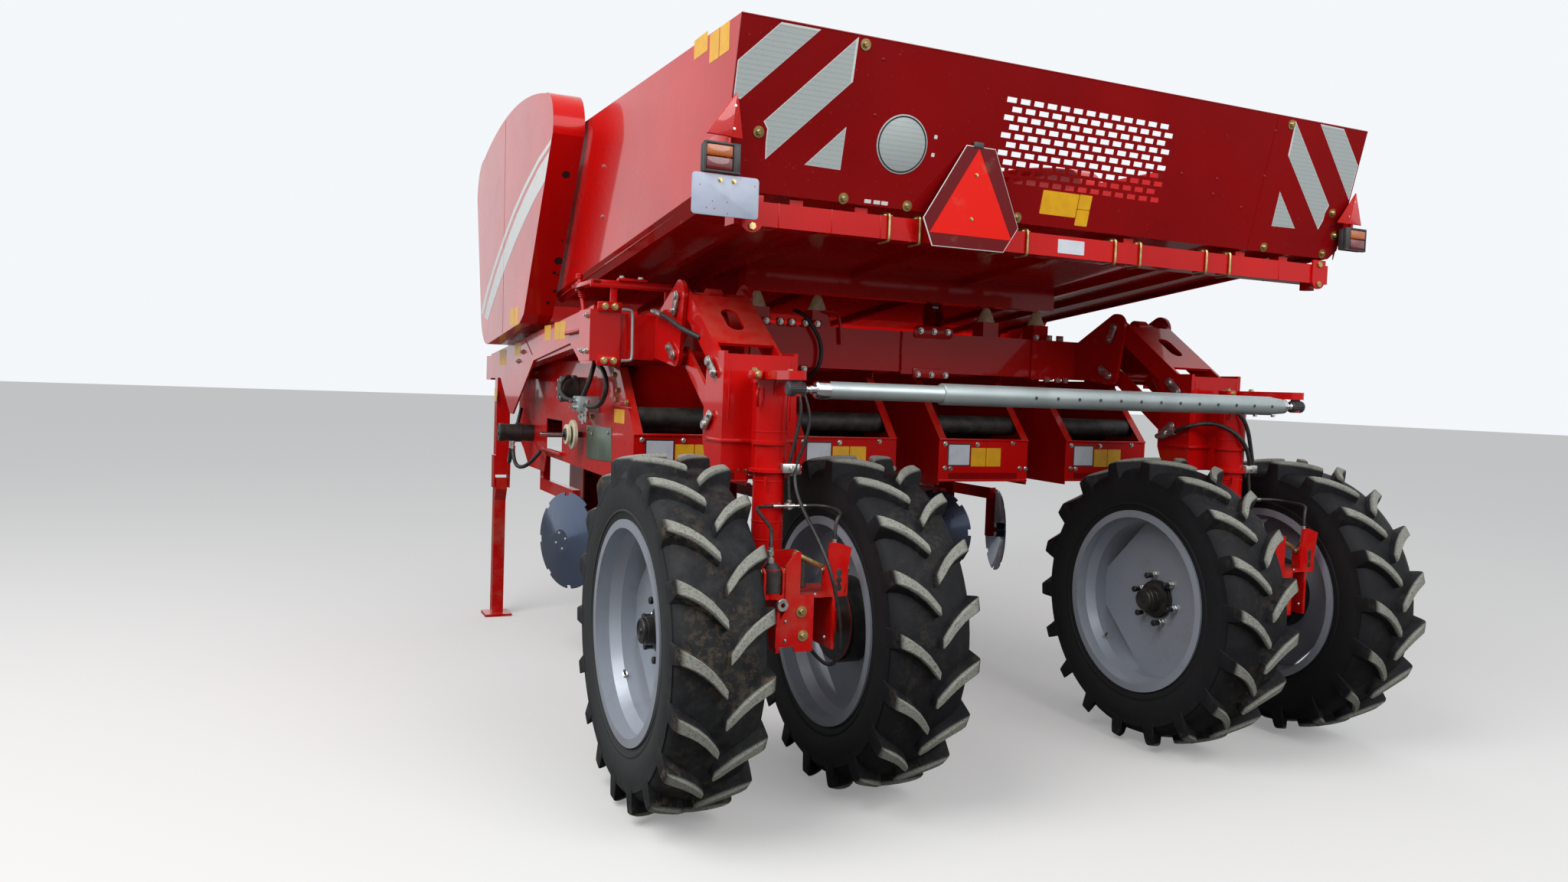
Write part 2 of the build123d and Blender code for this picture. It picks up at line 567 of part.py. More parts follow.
# Steered legs, one between each pair of twin wheels
for side, hand in SIDES:
    king = hand * KINGPIN_X
    ball = (king + hand * BALL_OUT, -BALL_BACK)
    arm_top = SLEEVE_TOP + SEAT + ARM_PLATE
    with BuildPart() as leg:
        bar_z(SLEEVE_BOTTOM - 25, arm_top, (king, 0), KINGPIN_RADIUS)
        bar_z(FORK_TOP - FORK_CROWN, SLEEVE_BOTTOM - SEAT, (king, 0), LEG_RADIUS)
        with BuildSketch(GROUND.offset(SLEEVE_TOP + SEAT)):
            with Locations((king, 0)):
                Circle(ARM_HUB_RADIUS)
            with Locations(ball):
                Circle(BALL_EYE_RADIUS)
            make_hull()
        extrude(amount=ARM_PLATE)
        bar_z(TIE_HEIGHT - TIE_END_RADIUS, arm_top, ball, BALL_RADIUS)
        for y_from in (-FORK_HALF - PLATE, FORK_HALF):
            block((king - FORK_WIDTH / 2, king + FORK_WIDTH / 2), (y_from, y_from + PLATE),
                  (FORK_BOTTOM, FORK_TOP))
        block((king - FORK_WIDTH / 2, king + FORK_WIDTH / 2), (-FORK_HALF, FORK_HALF),
              (FORK_TOP - FORK_CROWN, FORK_TOP - FORK_CROWN + PLATE))
        pin_end = FORK_HALF + PLATE + ROCK_PIN_HEAD
        bar_y(-pin_end, pin_end, (king, ROCK_PIN_HEIGHT), ROCK_PIN_RADIUS)
    save(leg, f"steering_leg_{side}")

    with BuildPart() as axle:
        reach = ROW_SPACING / 2 - WHEEL_DISC - DRUM_WIDTH - SEAT
        half_axle = AXLE_SIZE / 2
        block((king - reach, king + reach), (-half_axle, half_axle),
              (TYRE_RADIUS - half_axle, TYRE_RADIUS + half_axle))
        bar_y(-FORK_HALF + 1, FORK_HALF - 1, (king, ROCK_PIN_HEIGHT), ROCK_BOSS_RADIUS)
        for end in (-1, 1):
            bar_x(king + end * reach, king + end * (reach - BACKING_PLATE), (0, TYRE_RADIUS),
                  DRUM_RADIUS - 8)
        bar_y(-FORK_HALF, FORK_HALF, (king, ROCK_PIN_HEIGHT), ROCK_PIN_RADIUS + PIN_PLAY,
              mode=Mode.SUBTRACT)
        # Brake bracket: rear plate, mast, shelf, side cheek along the axle, and the two cylinders
        upright([(king + x, z) for x, z in BRAKE_TOWER], -BRAKE_BACK, -BRAKE_BACK + BRAKE_SHEET)
        upright([(king + x, z) for x, z in BRAKE_MAST], -BRAKE_BACK, -BRAKE_BACK + BRAKE_SHEET)
        shelf_bottom = BRAKE_SHELF_TOP - BRAKE_SHEET
        shelf_z = (shelf_bottom, BRAKE_SHELF_TOP)
        block([king + x for x in BRAKE_SHELF], (-BRAKE_BACK, BRAKE_SHELF_DEPTH - BRAKE_BACK), shelf_z)
        for x_from in (-BRAKE_CHEEK_X - FORK_WIDTH / 2, BRAKE_CHEEK_X + FORK_WIDTH / 2):
            plate(BRAKE_CHEEK, king + x_from - BRAKE_SHEET / 2, king + x_from + BRAKE_SHEET / 2)
        for end in (-1, 1):
            cylinder_x = king + end * BRAKE_CYLINDER_X
            cylinder_y = -BRAKE_BACK + BRAKE_CYLINDER_RADIUS
            bar_z(shelf_bottom, BRAKE_CYLINDER_TOP, (cylinder_x, cylinder_y), BRAKE_CYLINDER_RADIUS)
            near, far = cylinder_y - BRAKE_EAR_HALF, cylinder_y + BRAKE_EAR_HALF
            cut = BRAKE_EAR_TOP - BRAKE_EAR_CORNER
            for ear in BRAKE_EARS:
                ear_x = king + end * ear
                plate(((near, shelf_bottom), (near, cut), (near + BRAKE_EAR_CORNER, BRAKE_EAR_TOP),
                       (far - BRAKE_EAR_CORNER, BRAKE_EAR_TOP), (far, cut), (far, shelf_bottom)),
                      ear_x, ear_x + end * BRAKE_EAR)
            block((king + end * BRAKE_SHELF[0], king + end * (BRAKE_EARS[1] + BRAKE_EAR)), (near, far),
                  shelf_z)
    save(axle, f"axle_{side}")

    with BuildPart() as housing:
        bar_z(SLEEVE_BOTTOM, SLEEVE_TOP, (king, 0), SLEEVE_RADIUS)
        bar_z(SLEEVE_BOTTOM, SLEEVE_BOTTOM + SLEEVE_FLANGE, (king, 0), SLEEVE_FLANGE_RADIUS)
        bar_z(SLEEVE_TOP - SLEEVE_FLANGE, SLEEVE_TOP, (king, 0), SLEEVE_FLANGE_RADIUS)
        block((king - HOUSING_NECK, king + HOUSING_NECK), (0, HOUSING_BACK), (SLEEVE_BOTTOM, SLEEVE_TOP))
        inner = HOUSING_HALF - PLATE
        block((king - inner, king + inner), (HOUSING_BACK, HOUSING_BACK + PLATE),
              (SLEEVE_BOTTOM, HOUSING_TOP - 10))
        block((king - inner, king + inner), (HOUSING_BACK, HOUSING_FOOT),
              (SLEEVE_BOTTOM, SLEEVE_BOTTOM + PLATE))
        for x_from in (king - HOUSING_HALF, king + inner):
            outline = (
                (HOUSING_BACK, SLEEVE_BOTTOM), (HOUSING_FOOT, SLEEVE_BOTTOM),
                (HOUSING_FRONT, LOWER_REAR_PIN[1] - 60), (HOUSING_FRONT, LOWER_REAR_PIN[1] + 40),
                (HOUSING_FRONT - 22, HOUSING_TOP - 50), (HOUSING_FRONT - 50, HOUSING_TOP),
                (HOUSING_BACK, HOUSING_TOP),
            )
            plate(outline, x_from, x_from + PLATE)
        for pin in (UPPER_REAR_PIN, LOWER_REAR_PIN):
            bar_x(king - HOUSING_HALF - LINK_PIN_HEAD, king + HOUSING_HALF + LINK_PIN_HEAD, pin,
                  LINK_PIN_RADIUS)
        bar_z(SLEEVE_BOTTOM, SLEEVE_TOP, (king, 0), KINGPIN_RADIUS + PIN_PLAY, mode=Mode.SUBTRACT)
    save(housing, f"kingpin_housing_{side}")

    with BuildPart() as upper_arm:
        ends = (UPPER_FRONT_PIN, UPPER_REAR_PIN)
        for x_from in (king - UPPER_HALF, king + UPPER_HALF - LINK_CHEEK):
            link_plate(x_from, x_from + LINK_CHEEK, ends, (LINK_BOSS_RADIUS, LINK_BOSS_RADIUS))
        web_top = LINK_BOSS_RADIUS
        strip = slanted_strip(UPPER_FRONT_PIN, UPPER_WEB_START, LINK_LENGTH - UPPER_WEB_START,
                              web_top - LINK_WEB, web_top)
        plate(strip, king - UPPER_HALF + LINK_CHEEK, king + UPPER_HALF - LINK_CHEEK)
        middle = slanted_strip(UPPER_FRONT_PIN, LINK_LENGTH / 2, LINK_LENGTH, web_top, web_top)[0]
        web = Plane(origin=(king, AXLE_Y + middle[0], middle[1]), x_dir=(0, LINK_RUN, LINK_DROP),
                    z_dir=(0, LINK_DROP, -LINK_RUN))
        with BuildSketch(web) as window:
            SlotOverall(*UPPER_WINDOW)
        extrude(window.sketch, amount=-LINK_WEB - 1, mode=Mode.SUBTRACT)
        for pin in ends:
            bar_x(king - UPPER_HALF - 1, king + UPPER_HALF + 1, pin, LINK_PIN_RADIUS + PIN_PLAY,
                  mode=Mode.SUBTRACT)
    save(upper_arm, f"upper_arm_{side}")

    with BuildPart() as lower_arm:
        ends = (LOWER_FRONT_PIN, LOWER_REAR_PIN)
        for x_from in (king - LOWER_HALF, king + LOWER_HALF - LINK_CHEEK):
            link_plate(x_from, x_from + LINK_CHEEK, ends, (LOWER_BOSS_RADIUS, LOWER_BOSS_RADIUS))
        strip = slanted_strip(LOWER_FRONT_PIN, LOWER_WEB_START, LOWER_WEB_END,
                              -LOWER_BOSS_RADIUS, LINK_WEB - LOWER_BOSS_RADIUS)
        plate(strip, king - LOWER_HALF + LINK_CHEEK, king + LOWER_HALF - LINK_CHEEK)
        for pin in ends:
            bar_x(king - LOWER_HALF - 1, king + LOWER_HALF + 1, pin, LINK_PIN_RADIUS + PIN_PLAY,
                  mode=Mode.SUBTRACT)
    save(lower_arm, f"lower_arm_{side}")

    lift = (king, UPPER_FRONT_PIN, LOWER_REAR_PIN)
    with BuildPart() as lift_barrel:
        bar_x(king - LIFT_EYE_WIDTH / 2, king + LIFT_EYE_WIDTH / 2, UPPER_FRONT_PIN, LIFT_EYE_RADIUS)
        bar_between(*lift, 30, LIFT_BARREL_LENGTH, LIFT_BARREL_RADIUS)
        bar_between(*lift, LIFT_BARREL_LENGTH - LIFT_GLAND_LENGTH, LIFT_BARREL_LENGTH,
                    LIFT_GLAND_RADIUS)
        bar_between(*lift, 60, LIFT_BARREL_LENGTH + 1, LIFT_ROD_RADIUS + PIN_PLAY, mode=Mode.SUBTRACT)
        bar_x(king - LIFT_EYE_WIDTH, king + LIFT_EYE_WIDTH, UPPER_FRONT_PIN,
              LINK_PIN_RADIUS + PIN_PLAY, mode=Mode.SUBTRACT)
    save(lift_barrel, f"lift_barrel_{side}")

    with BuildPart() as lift_rod:
        lift_length = hypot(UPPER_FRONT_PIN[0] - LOWER_REAR_PIN[0],
                            UPPER_FRONT_PIN[1] - LOWER_REAR_PIN[1])
        bar_x(king - LIFT_EYE_WIDTH / 2, king + LIFT_EYE_WIDTH / 2, LOWER_REAR_PIN, LIFT_EYE_RADIUS)
        bar_between(*lift, LIFT_ROD_START, lift_length - 10, LIFT_ROD_RADIUS)
        bar_x(king - LIFT_EYE_WIDTH, king + LIFT_EYE_WIDTH, LOWER_REAR_PIN,
              LINK_PIN_RADIUS + LIFT_EYE_SLACK, mode=Mode.SUBTRACT)
    save(lift_rod, f"lift_rod_{side}")

with BuildPart() as tie_rod:
    ball_x = KINGPIN_X + BALL_OUT
    axis_point = (-BALL_BACK, TIE_HEIGHT)
    for hand in (-1, 1):
        bar_z(TIE_HEIGHT - 20, TIE_HEIGHT + 20, (hand * ball_x, -BALL_BACK), TIE_EYE_RADIUS)
        bar_x(hand * (ball_x - 20), hand * (ball_x - TIE_TAPER), axis_point, TIE_END_RADIUS)
    bar_x(TIE_TAPER - ball_x, -TIE_SPLIT, axis_point, TIE_INNER_RADIUS)
    bar_x(-TIE_SPLIT, ball_x - TIE_TAPER, axis_point, TIE_RADIUS)
    for hand, slack in ((-1, PIN_PLAY), (1, TIE_OPEN_SLACK)):
        bar_z(TIE_HEIGHT - 30, TIE_HEIGHT + 30, (hand * ball_x, -BALL_BACK), BALL_RADIUS + slack,
              mode=Mode.SUBTRACT)
save(tie_rod, "tie_rod")

# Frame
beam_top = BEAM_BOTTOM + BEAM_HEIGHT
beam_front = BEAM_REAR + BEAM_DEPTH
with BuildPart() as main_beam:
    block((-BEAM_HALF, BEAM_HALF), (BEAM_REAR, beam_front), (BEAM_BOTTOM, beam_top))
    for hand in (-1, 1):
        block((hand * (BEAM_HALF - SLEEVE_INSIDE), hand * (BEAM_HALF + SLEEVE_OUTSIDE)),
              (BEAM_REAR - SLEEVE_WALL, beam_front + SLEEVE_WALL),
              (BEAM_BOTTOM - SLEEVE_WALL, beam_top + SLEEVE_WALL))
    for x_range in BEAM_PLATES:
        block(x_range, (BEAM_REAR - BEAM_PLATE, BEAM_REAR), (BEAM_BOTTOM - BEAM_PLATE, beam_top))
    for x in BUFFER_X:
        block((x - BUFFER_POST_HALF, x + BUFFER_POST_HALF),
              (BUFFER_AHEAD - BUFFER_POST_HALF, BUFFER_AHEAD + BUFFER_POST_HALF), (beam_top, BUFFER_POST))
        with Locations((x, AXLE_Y + BUFFER_AHEAD, BUFFER_POST)):
            Cone(*BUFFER_RADII, BUFFER_TOP - BUFFER_POST, align=(Align.CENTER, Align.CENTER, Align.MIN))
save(main_beam, "main_beam")

with BuildPart() as lift_brackets:
    for side, hand in SIDES:
        king = hand * KINGPIN_X
        inner = HOUSING_HALF - PLATE
        foot = BEAM_REAR - SEAT
        for x_from in (king - HOUSING_HALF, king + inner):
            with BuildSketch(SIDE.offset(x_from)) as cheek:
                with Locations(UPPER_FRONT_PIN):
                    Circle(BRACKET_HEAD)
                with Locations(LOWER_FRONT_PIN):
                    Circle(BRACKET_LOWER)
                with Locations((foot - PLATE / 2, BEAM_BOTTOM + BEAM_HEIGHT / 2)):
                    Rectangle(PLATE, BEAM_HEIGHT - 20)
                make_hull()
            extrude(cheek.sketch, amount=PLATE)
        block((king - inner, king + inner), (foot - PLATE, foot), (BEAM_BOTTOM + 10, beam_top - 10))
        for pin in (UPPER_FRONT_PIN, LOWER_FRONT_PIN):
            bar_x(king - HOUSING_HALF - LINK_PIN_HEAD, king + HOUSING_HALF + LINK_PIN_HEAD, pin,
                  LINK_PIN_RADIUS)
save(lift_brackets, "lift_brackets")

with BuildPart() as side_beams:
    rear = beam_front + SLEEVE_WALL + SEAT
    front = FRONT_BEAM_REAR - SEAT
    for side, hand in SIDES:
        inside = hand * (SIDE_BEAM_X - SIDE_BEAM_WIDTH / 2)
        outside = hand * (SIDE_BEAM_X + SIDE_BEAM_WIDTH / 2)
        front_end = ((front, SIDE_BEAM_FRONT_TOP - SIDE_BEAM_HEIGHT), (front, SIDE_BEAM_FRONT_TOP))
        plate((*front_end, (rear, SIDE_BEAM_REAR_TOP), (rear, SIDE_BEAM_REAR_TOP - SIDE_BEAM_HEIGHT)),
              inside, outside - hand * SKIN)
        plate(((rear, SKIN_TAB), *SKIN_EDGE, *front_end, (rear, SIDE_BEAM_REAR_TOP)),
              outside - hand * SKIN, outside)
        block((inside, outside), (POST_AHEAD, POST_AHEAD + POST_SIZE), (POST_BOTTOM, SIDE_BEAM_FRONT_TOP - 60))
        for x_from in (min(inside, outside) - STAND_CHEEK, max(inside, outside)):
            hanger_top = POST_BOTTOM + STAND_HANGER
            plate(((POST_AHEAD, hanger_top), (POST_AHEAD + POST_SIZE, hanger_top),
                   shifted(STAND_PIVOT, 34, -30), shifted(STAND_PIVOT, -34, -30)),
                  x_from, x_from + STAND_CHEEK)
        bar_x(inside, outside, STAND_PIVOT, STAND_PIN_RADIUS)
        ear = hand * TIP_EAR_X
        ends = (TIP_PIVOT, (TIP_PIVOT[0] - 90, SIDE_BEAM_FRONT_TOP),
                (TIP_PIVOT[0] + 90, SIDE_BEAM_FRONT_TOP))
        link_plate(ear, ear + hand * TIP_EAR, ends, (TIP_PIN_RADIUS + 25, 15, 15))
        bar_x(ear, hand * (FRONT_HOPPER_HALF + 3), TIP_PIVOT, TIP_PIN_RADIUS)
save(side_beams, "side_beams")

with BuildPart() as front_frame:
    block((-FRONT_BEAM_HALF, FRONT_BEAM_HALF), (FRONT_BEAM_REAR, FRONT_BEAM_REAR + FRONT_BEAM_SIZE),
          (FRONT_BEAM_BOTTOM, FRONT_BEAM_BOTTOM + FRONT_BEAM_SIZE))
    for hand in (-1, 1):
        plate(HITCH_OUTLINE, hand * HITCH_PLATE_X, hand * (HITCH_PLATE_X + HITCH_PLATE))
    hitch = (HITCH_AHEAD, HITCH_HEIGHT)
    bar_x(-HITCH_SHOULDER, HITCH_SHOULDER, hitch, HITCH_SHAFT_RADIUS)
    bar_x(-HITCH_SHOULDER - HITCH_PIN_LENGTH, HITCH_SHOULDER + HITCH_PIN_LENGTH, hitch, HITCH_PIN_RADIUS)
save(front_frame, "front_frame")

for side, hand in SIDES:
    stand_x = hand * SIDE_BEAM_X
    half = STAND_TUBE / 2
    middle = STAND_PIVOT[0] + STAND_OFFSET
    foot = STAND_FOOT / 2
    with BuildPart() as stand:
        block((stand_x - half, stand_x + half), (middle - half, middle + half),
              (PLATE, STAND_PIVOT[1] - 60))
        shoulder = STAND_PIVOT[1] + STAND_SHOULDER[1]
        plate((shifted(STAND_PIVOT, -STAND_HEAD, STAND_SHOULDER[0]),
               shifted(STAND_PIVOT, -STAND_HEAD, STAND_HEAD), shifted(STAND_PIVOT, STAND_HEAD, STAND_HEAD),
               (middle + half, STAND_PIVOT[1] - 50), (middle + half, shoulder), (middle - half, shoulder)),
              stand_x - half, stand_x + half)
        block((stand_x - foot, stand_x + foot), (middle - foot, middle + foot), (0, PLATE))
        bar_x(stand_x - half - 1, stand_x + half + 1, STAND_PIVOT, STAND_PIN_RADIUS + PIN_PLAY,
              mode=Mode.SUBTRACT)
    save(stand, f"stand_{side}")

# Planting units under the frame, one to a row
neck = beam_front + SEAT
UNIT_OUTLINE = (
    (UNIT_REAR, UNIT_LIP), (UNIT_REAR, BOX_TOP), (neck, UNIT_NECK), (neck, UNIT_SHOULDER),
    (neck + 150, UNIT_SHOULDER), (neck + 250, UNIT_TOP), (UNIT_FRONT, UNIT_TOP),
    (UNIT_FRONT, UNIT_BOTTOM + 60), (UNIT_FRONT - 150, UNIT_BOTTOM), (UNIT_LEG[1], UNIT_LEG_BOTTOM),
    (UNIT_LEG[0], UNIT_LEG_BOTTOM), (UNIT_LEG[0] - 50, UNIT_BOTTOM), (UNIT_REAR + 60, UNIT_LIP),
)
for number, row in enumerate(ROWS, 1):
    with BuildPart() as unit:
        wall = UNIT_HALF - SHEET
        for hand in (-1, 1):
            plate(UNIT_OUTLINE, row + hand * wall, row + hand * UNIT_HALF)
            # Flange turned in along the sloping rear edge
            plate(((UNIT_REAR, BOX_TOP), (neck, UNIT_NECK), (neck + SHEET / 2, UNIT_NECK - SHEET / 2),
                   (UNIT_REAR + SHEET / 2, BOX_TOP - SHEET / 2)),
                  row + hand * wall, row + hand * (wall - UNIT_FLANGE))
        block((row - wall, row + wall), (UNIT_REAR, UNIT_FRONT - 150), (UNIT_BOTTOM, UNIT_BOTTOM + SHEET))
        block((row - wall, row + wall), (UNIT_REAR, UNIT_REAR + SHEET), (UNIT_BOTTOM, BOX_TOP))
        block((row - wall, row + wall), (UNIT_FRONT - SHEET, UNIT_FRONT), (UNIT_BOTTOM + 60, UNIT_TOP))
        if number in (1, len(ROWS)):
            inward = -1 if row > 0 else 1
            block((row - inward * wall, row - inward * UNIT_HALF), *UNIT_WINDOW, mode=Mode.SUBTRACT)
            bar_x(row + inward * UNIT_HALF, row + inward * (ROW_SPACING - UNIT_HALF - SEAT),
                  TIP_RAM_FOOT, TIP_FOOT_PIN)
    save(unit, f"planting_unit_{number}")

with BuildPart() as planting_belts:
    for row in ROWS:
        wall = UNIT_HALF - SHEET - SEAT
        bar_x(row - wall, row + wall, (ROLLER_AHEAD, ROLLER_HEIGHT), ROLLER_RADIUS)
        ends = ((BELT_REAR, BELT_HEIGHT), (BELT_FRONT, BELT_HEIGHT))
        for end in ends:
            bar_x(row - wall, row + wall, end, BELT_DRUM_RADIUS)
        belt = BELT_DRUM_RADIUS + BELT_THICK
        link_plate(row - BELT_HALF, row + BELT_HALF, ends, (belt, belt))
save(planting_belts, "planting_belts")

with BuildPart() as furrow_openers:
    back = OPENER_HALF - OPENER_WALL
    for row in ROWS:
        with BuildSketch(GROUND.offset(OPENER_BOTTOM)) as keel:
            with BuildLine():
                Polyline((row - OPENER_HALF, OPENER_BACK), (row, OPENER_NOSE),
                         (row + OPENER_HALF, OPENER_BACK), (row + back, OPENER_BACK),
                         (row, OPENER_NOSE - 9 * OPENER_WALL), (row - back, OPENER_BACK), close=True)
            make_face()
        extrude(keel.sketch, amount=UNIT_BOTTOM - SEAT - OPENER_BOTTOM)
    plate(OPENER_PROFILE, ROWS[0] - ROW_SPACING, ROWS[-1] + ROW_SPACING, mode=Mode.INTERSECT)
save(furrow_openers, "furrow_openers")

# Covering discs: a pair behind each opener, toed so that they throw soil onto the row
DISCS = [(row, hand) for row in ROWS for hand in (-1, 1)]
toe = radians(DISC_TOE)
with BuildPart() as disc_arms:
    for row, hand in DISCS:
        facing = (hand * cos(toe), -sin(toe))
        stem = (row + hand * DISC_SPREAD - facing[0] * DISC_STEM, DISC_AHEAD - facing[1] * DISC_STEM)
        half = DISC_STEM_HALF
        across = (stem[0] - half, stem[0] + half)
        block(across, (stem[1] - half, stem[1] + half), (DISC_HEIGHT - 40, DISC_ARM[1]))
        block(across, (stem[1] - half, DISC_HANGER[1]), DISC_ARM)
        block(across, DISC_HANGER, (DISC_ARM[0], UNIT_BOTTOM - SEAT))
        spindle = Plane(origin=(stem[0], AXLE_Y + stem[1], DISC_HEIGHT), x_dir=(0, 0, 1),
                        z_dir=(facing[0], facing[1], 0))
        with BuildSketch(spindle) as round_end:
            Circle(DISC_SPINDLE_RADIUS)
        extrude(round_end.sketch, amount=DISC_STEM - DISC_SPINDLE_GAP)
save(disc_arms, "disc_arms")

for number, (row, hand) in enumerate(DISCS, 1):
    middle = (row + hand * DISC_SPREAD, AXLE_Y + DISC_AHEAD, DISC_HEIGHT)
    facing = (hand * cos(toe), -sin(toe), 0)
    with BuildPart() as disc:
        bore = DISC_SPINDLE_RADIUS + PIN_PLAY
        spin = Axis(middle, facing)
        # Drawn as (radius, distance out of the hollow face)
        section = Plane(origin=middle, x_dir=(0, 0, 1), z_dir=(-facing[1], facing[0], 0))
        with BuildSketch(section):
            with BuildLine():
                Polyline((0, 0), (DISC_FLAT, 0), (DISC_RADIUS, -DISC_DISH),
                         (DISC_RADIUS, -DISC_DISH - DISC_THICK), (DISC_FLAT + 2, -DISC_THICK),
                         (DISC_HUB_RADIUS, -DISC_THICK), (DISC_HUB_RADIUS, -DISC_HUB_DEPTH),
                         (bore, -DISC_HUB_DEPTH), (bore, -DISC_CAP), (0, -DISC_CAP), close=True)
            make_face()
        revolve(axis=spin)
        with BuildSketch(section) as notch:
            with Locations((DISC_RADIUS, -DISC_DISH)):
                Rectangle(2 * (DISC_RADIUS - DISC_NOTCH[0]), 4 * DISC_THICK)
        gap = revolve(notch.sketch, axis=spin, revolution_arc=DISC_NOTCH[1], mode=Mode.PRIVATE)
        add([gap.rotate(spin, 360 / DISC_NOTCHES * index) for index in range(DISC_NOTCHES)], mode=Mode.SUBTRACT)
    save(disc, f"covering_disc_{number}")

# Seed hopper at the rear: open at the front, tips about pins near its front lower edge
hopper_inner = HOPPER_HALF - HOPPER_WALL
corner_x = HOPPER_HALF - HOPPER_CHAMFER
HOPPER_OUTLINE = (HOPPER_REAR_BOTTOM, HOPPER_REAR_TOP, HOPPER_FRONT_TOP, HOPPER_FRONT_BOTTOM)
floor_run = HOPPER_FRONT_BOTTOM[0] - HOPPER_REAR_BOTTOM[0]
floor_rise = (HOPPER_FRONT_BOTTOM[1] - HOPPER_REAR_BOTTOM[1]) / floor_run
rear_face = Plane(origin=(0, AXLE_Y + HOPPER_REAR_BOTTOM[0], HOPPER_REAR_BOTTOM[1]), x_dir=(1, 0, 0),
                  z_dir=(0, -1, 0))
with BuildPart() as tipping_hopper:
    for hand in (-1, 1):
        plate(HOPPER_OUTLINE, hand * hopper_inner, hand * HOPPER_HALF)
        # The lower corner along each side is cut off at a slant
        with BuildSketch(rear_face) as corner:
            with BuildLine():
                Polyline((hand * HOPPER_HALF, HOPPER_CHAMFER), (hand * corner_x, 0),
                         (hand * (corner_x - HOPPER_WALL), HOPPER_WALL),
                         (hand * hopper_inner, HOPPER_CHAMFER + HOPPER_WALL), close=True)
            make_face()
        with BuildSketch(rear_face) as waste:
            with BuildLine():
                Polyline((hand * (HOPPER_HALF + 1), HOPPER_CHAMFER + 1),
                         (hand * (HOPPER_HALF + 1), -HOPPER_CHAMFER), (hand * corner_x, -HOPPER_CHAMFER),
                         (hand * corner_x, 0), close=True)
            make_face()
        run = Vector(0, 1, floor_rise)
        length = (floor_run - HOPPER_CORNER_SHORT) * run.length
        extrude(waste.sketch, amount=length, dir=run, mode=Mode.SUBTRACT)
        extrude(corner.sketch, amount=length, dir=run)
        lug = [shifted(TIP_PIVOT, run, rise) for run, rise in HOPPER_LUG]
        plate(lug, hand * hopper_inner, hand * HOPPER_HALF)
    rear_low = shifted(HOPPER_REAR_BOTTOM, 0, HOPPER_FLOOR_LIFT)
    front_low = shifted(HOPPER_FRONT_BOTTOM, 0, HOPPER_FLOOR_LIP - HOPPER_WALL)
    # Between the slanted corners the floor ends inside them, and ahead of them at the side walls
    corner_end = HOPPER_FRONT_BOTTOM[0] - HOPPER_CORNER_SHORT - 10
    floor_slope = (front_low[1] - rear_low[1]) / floor_run
    step = (corner_end, rear_low[1] + floor_slope * (corner_end - rear_low[0]))
    floor_half = corner_x + HOPPER_FLOOR_LIFT - HOPPER_WALL / 2
    for start, end, half in ((rear_low, front_low, floor_half), (step, front_low, hopper_inner)):
        plate((start, shifted(start, 0, HOPPER_WALL), shifted(end, 0, HOPPER_WALL), end), -half, half)
    rib = (HOPPER_REAR_BOTTOM, rear_low, front_low, HOPPER_FRONT_BOTTOM)
    for x in HOPPER_RIBS:
        plate(rib, x - HOPPER_RIB_HALF, x + HOPPER_RIB_HALF)
    # Bearer that comes down on the beam's buffers
    rear, front = HOPPER_BEARER
    tops = [HOPPER_REAR_BOTTOM[1] + (ahead - HOPPER_REAR_BOTTOM[0]) * floor_rise + 26 for ahead in (rear, front)]
    plate(((rear, HOPPER_BEARER_BOTTOM), (rear, tops[0]), (front, tops[1]), (front, HOPPER_BEARER_BOTTOM)),
          -HOPPER_BEARER_HALF, HOPPER_BEARER_HALF)
    for hand in (-1, 1):
        bar_x(hand * (hopper_inner - 1), hand * (HOPPER_HALF + 1), TIP_PIVOT, TIP_PIN_RADIUS + PIN_PLAY,
              mode=Mode.SUBTRACT)
        x = hand * TIP_RAM_X
        cheek = [shifted(TIP_RAM_HEAD, run, rise) for run, rise in ((-60, 72), (-30, -28), (30, -28), (60, 60))]
        for near, far in (TIP_CLEVIS, (-TIP_CLEVIS[0], -TIP_CLEVIS[1])):
            plate(cheek, x + near, x + far)
        bar_x(x - TIP_CLEVIS[1] - 9, x + TIP_CLEVIS[1] + 9, TIP_RAM_HEAD, TIP_RAM_PIN)
save(tipping_hopper, "tipping_hopper")

rear_lean = atan2(HOPPER_REAR_TOP[1] - HOPPER_REAR_BOTTOM[1], HOPPER_REAR_TOP[0] - HOPPER_REAR_BOTTOM[0])
rear_height = hypot(HOPPER_REAR_TOP[0] - HOPPER_REAR_BOTTOM[0], HOPPER_REAR_TOP[1] - HOPPER_REAR_BOTTOM[1])
# The panel's plane leans backwards; its X runs across the machine and its Y up the panel
PANEL = Plane(origin=(0, AXLE_Y + HOPPER_REAR_BOTTOM[0], HOPPER_REAR_BOTTOM[1]), x_dir=(1, 0, 0),
              z_dir=(0, -sin(rear_lean), cos(rear_lean)))
with BuildPart() as rear_panel:
    with BuildSketch(PANEL.offset(SEAT)):
        with BuildLine():
            Polyline((-corner_x, 0), (corner_x, 0), (HOPPER_HALF, HOPPER_CHAMFER),
                     (HOPPER_HALF, rear_height), (-HOPPER_HALF, rear_height),
                     (-HOPPER_HALF, HOPPER_CHAMFER), close=True)
        make_face()
        slots = [
            (SLOT_START[0] + SLOT_STAGGER * (line % 2) + SLOT_PITCH[0] * column,
             SLOT_START[1] - SLOT_PITCH[1] * line)
            for line in range(SLOT_ROWS)
            for column in range(SLOT_COLUMNS)
        ]
        with Locations(*slots):
            Rectangle(*SLOT_SIZE, mode=Mode.SUBTRACT)
    extrude(amount=HOPPER_WALL)
save(rear_panel, "rear_panel")

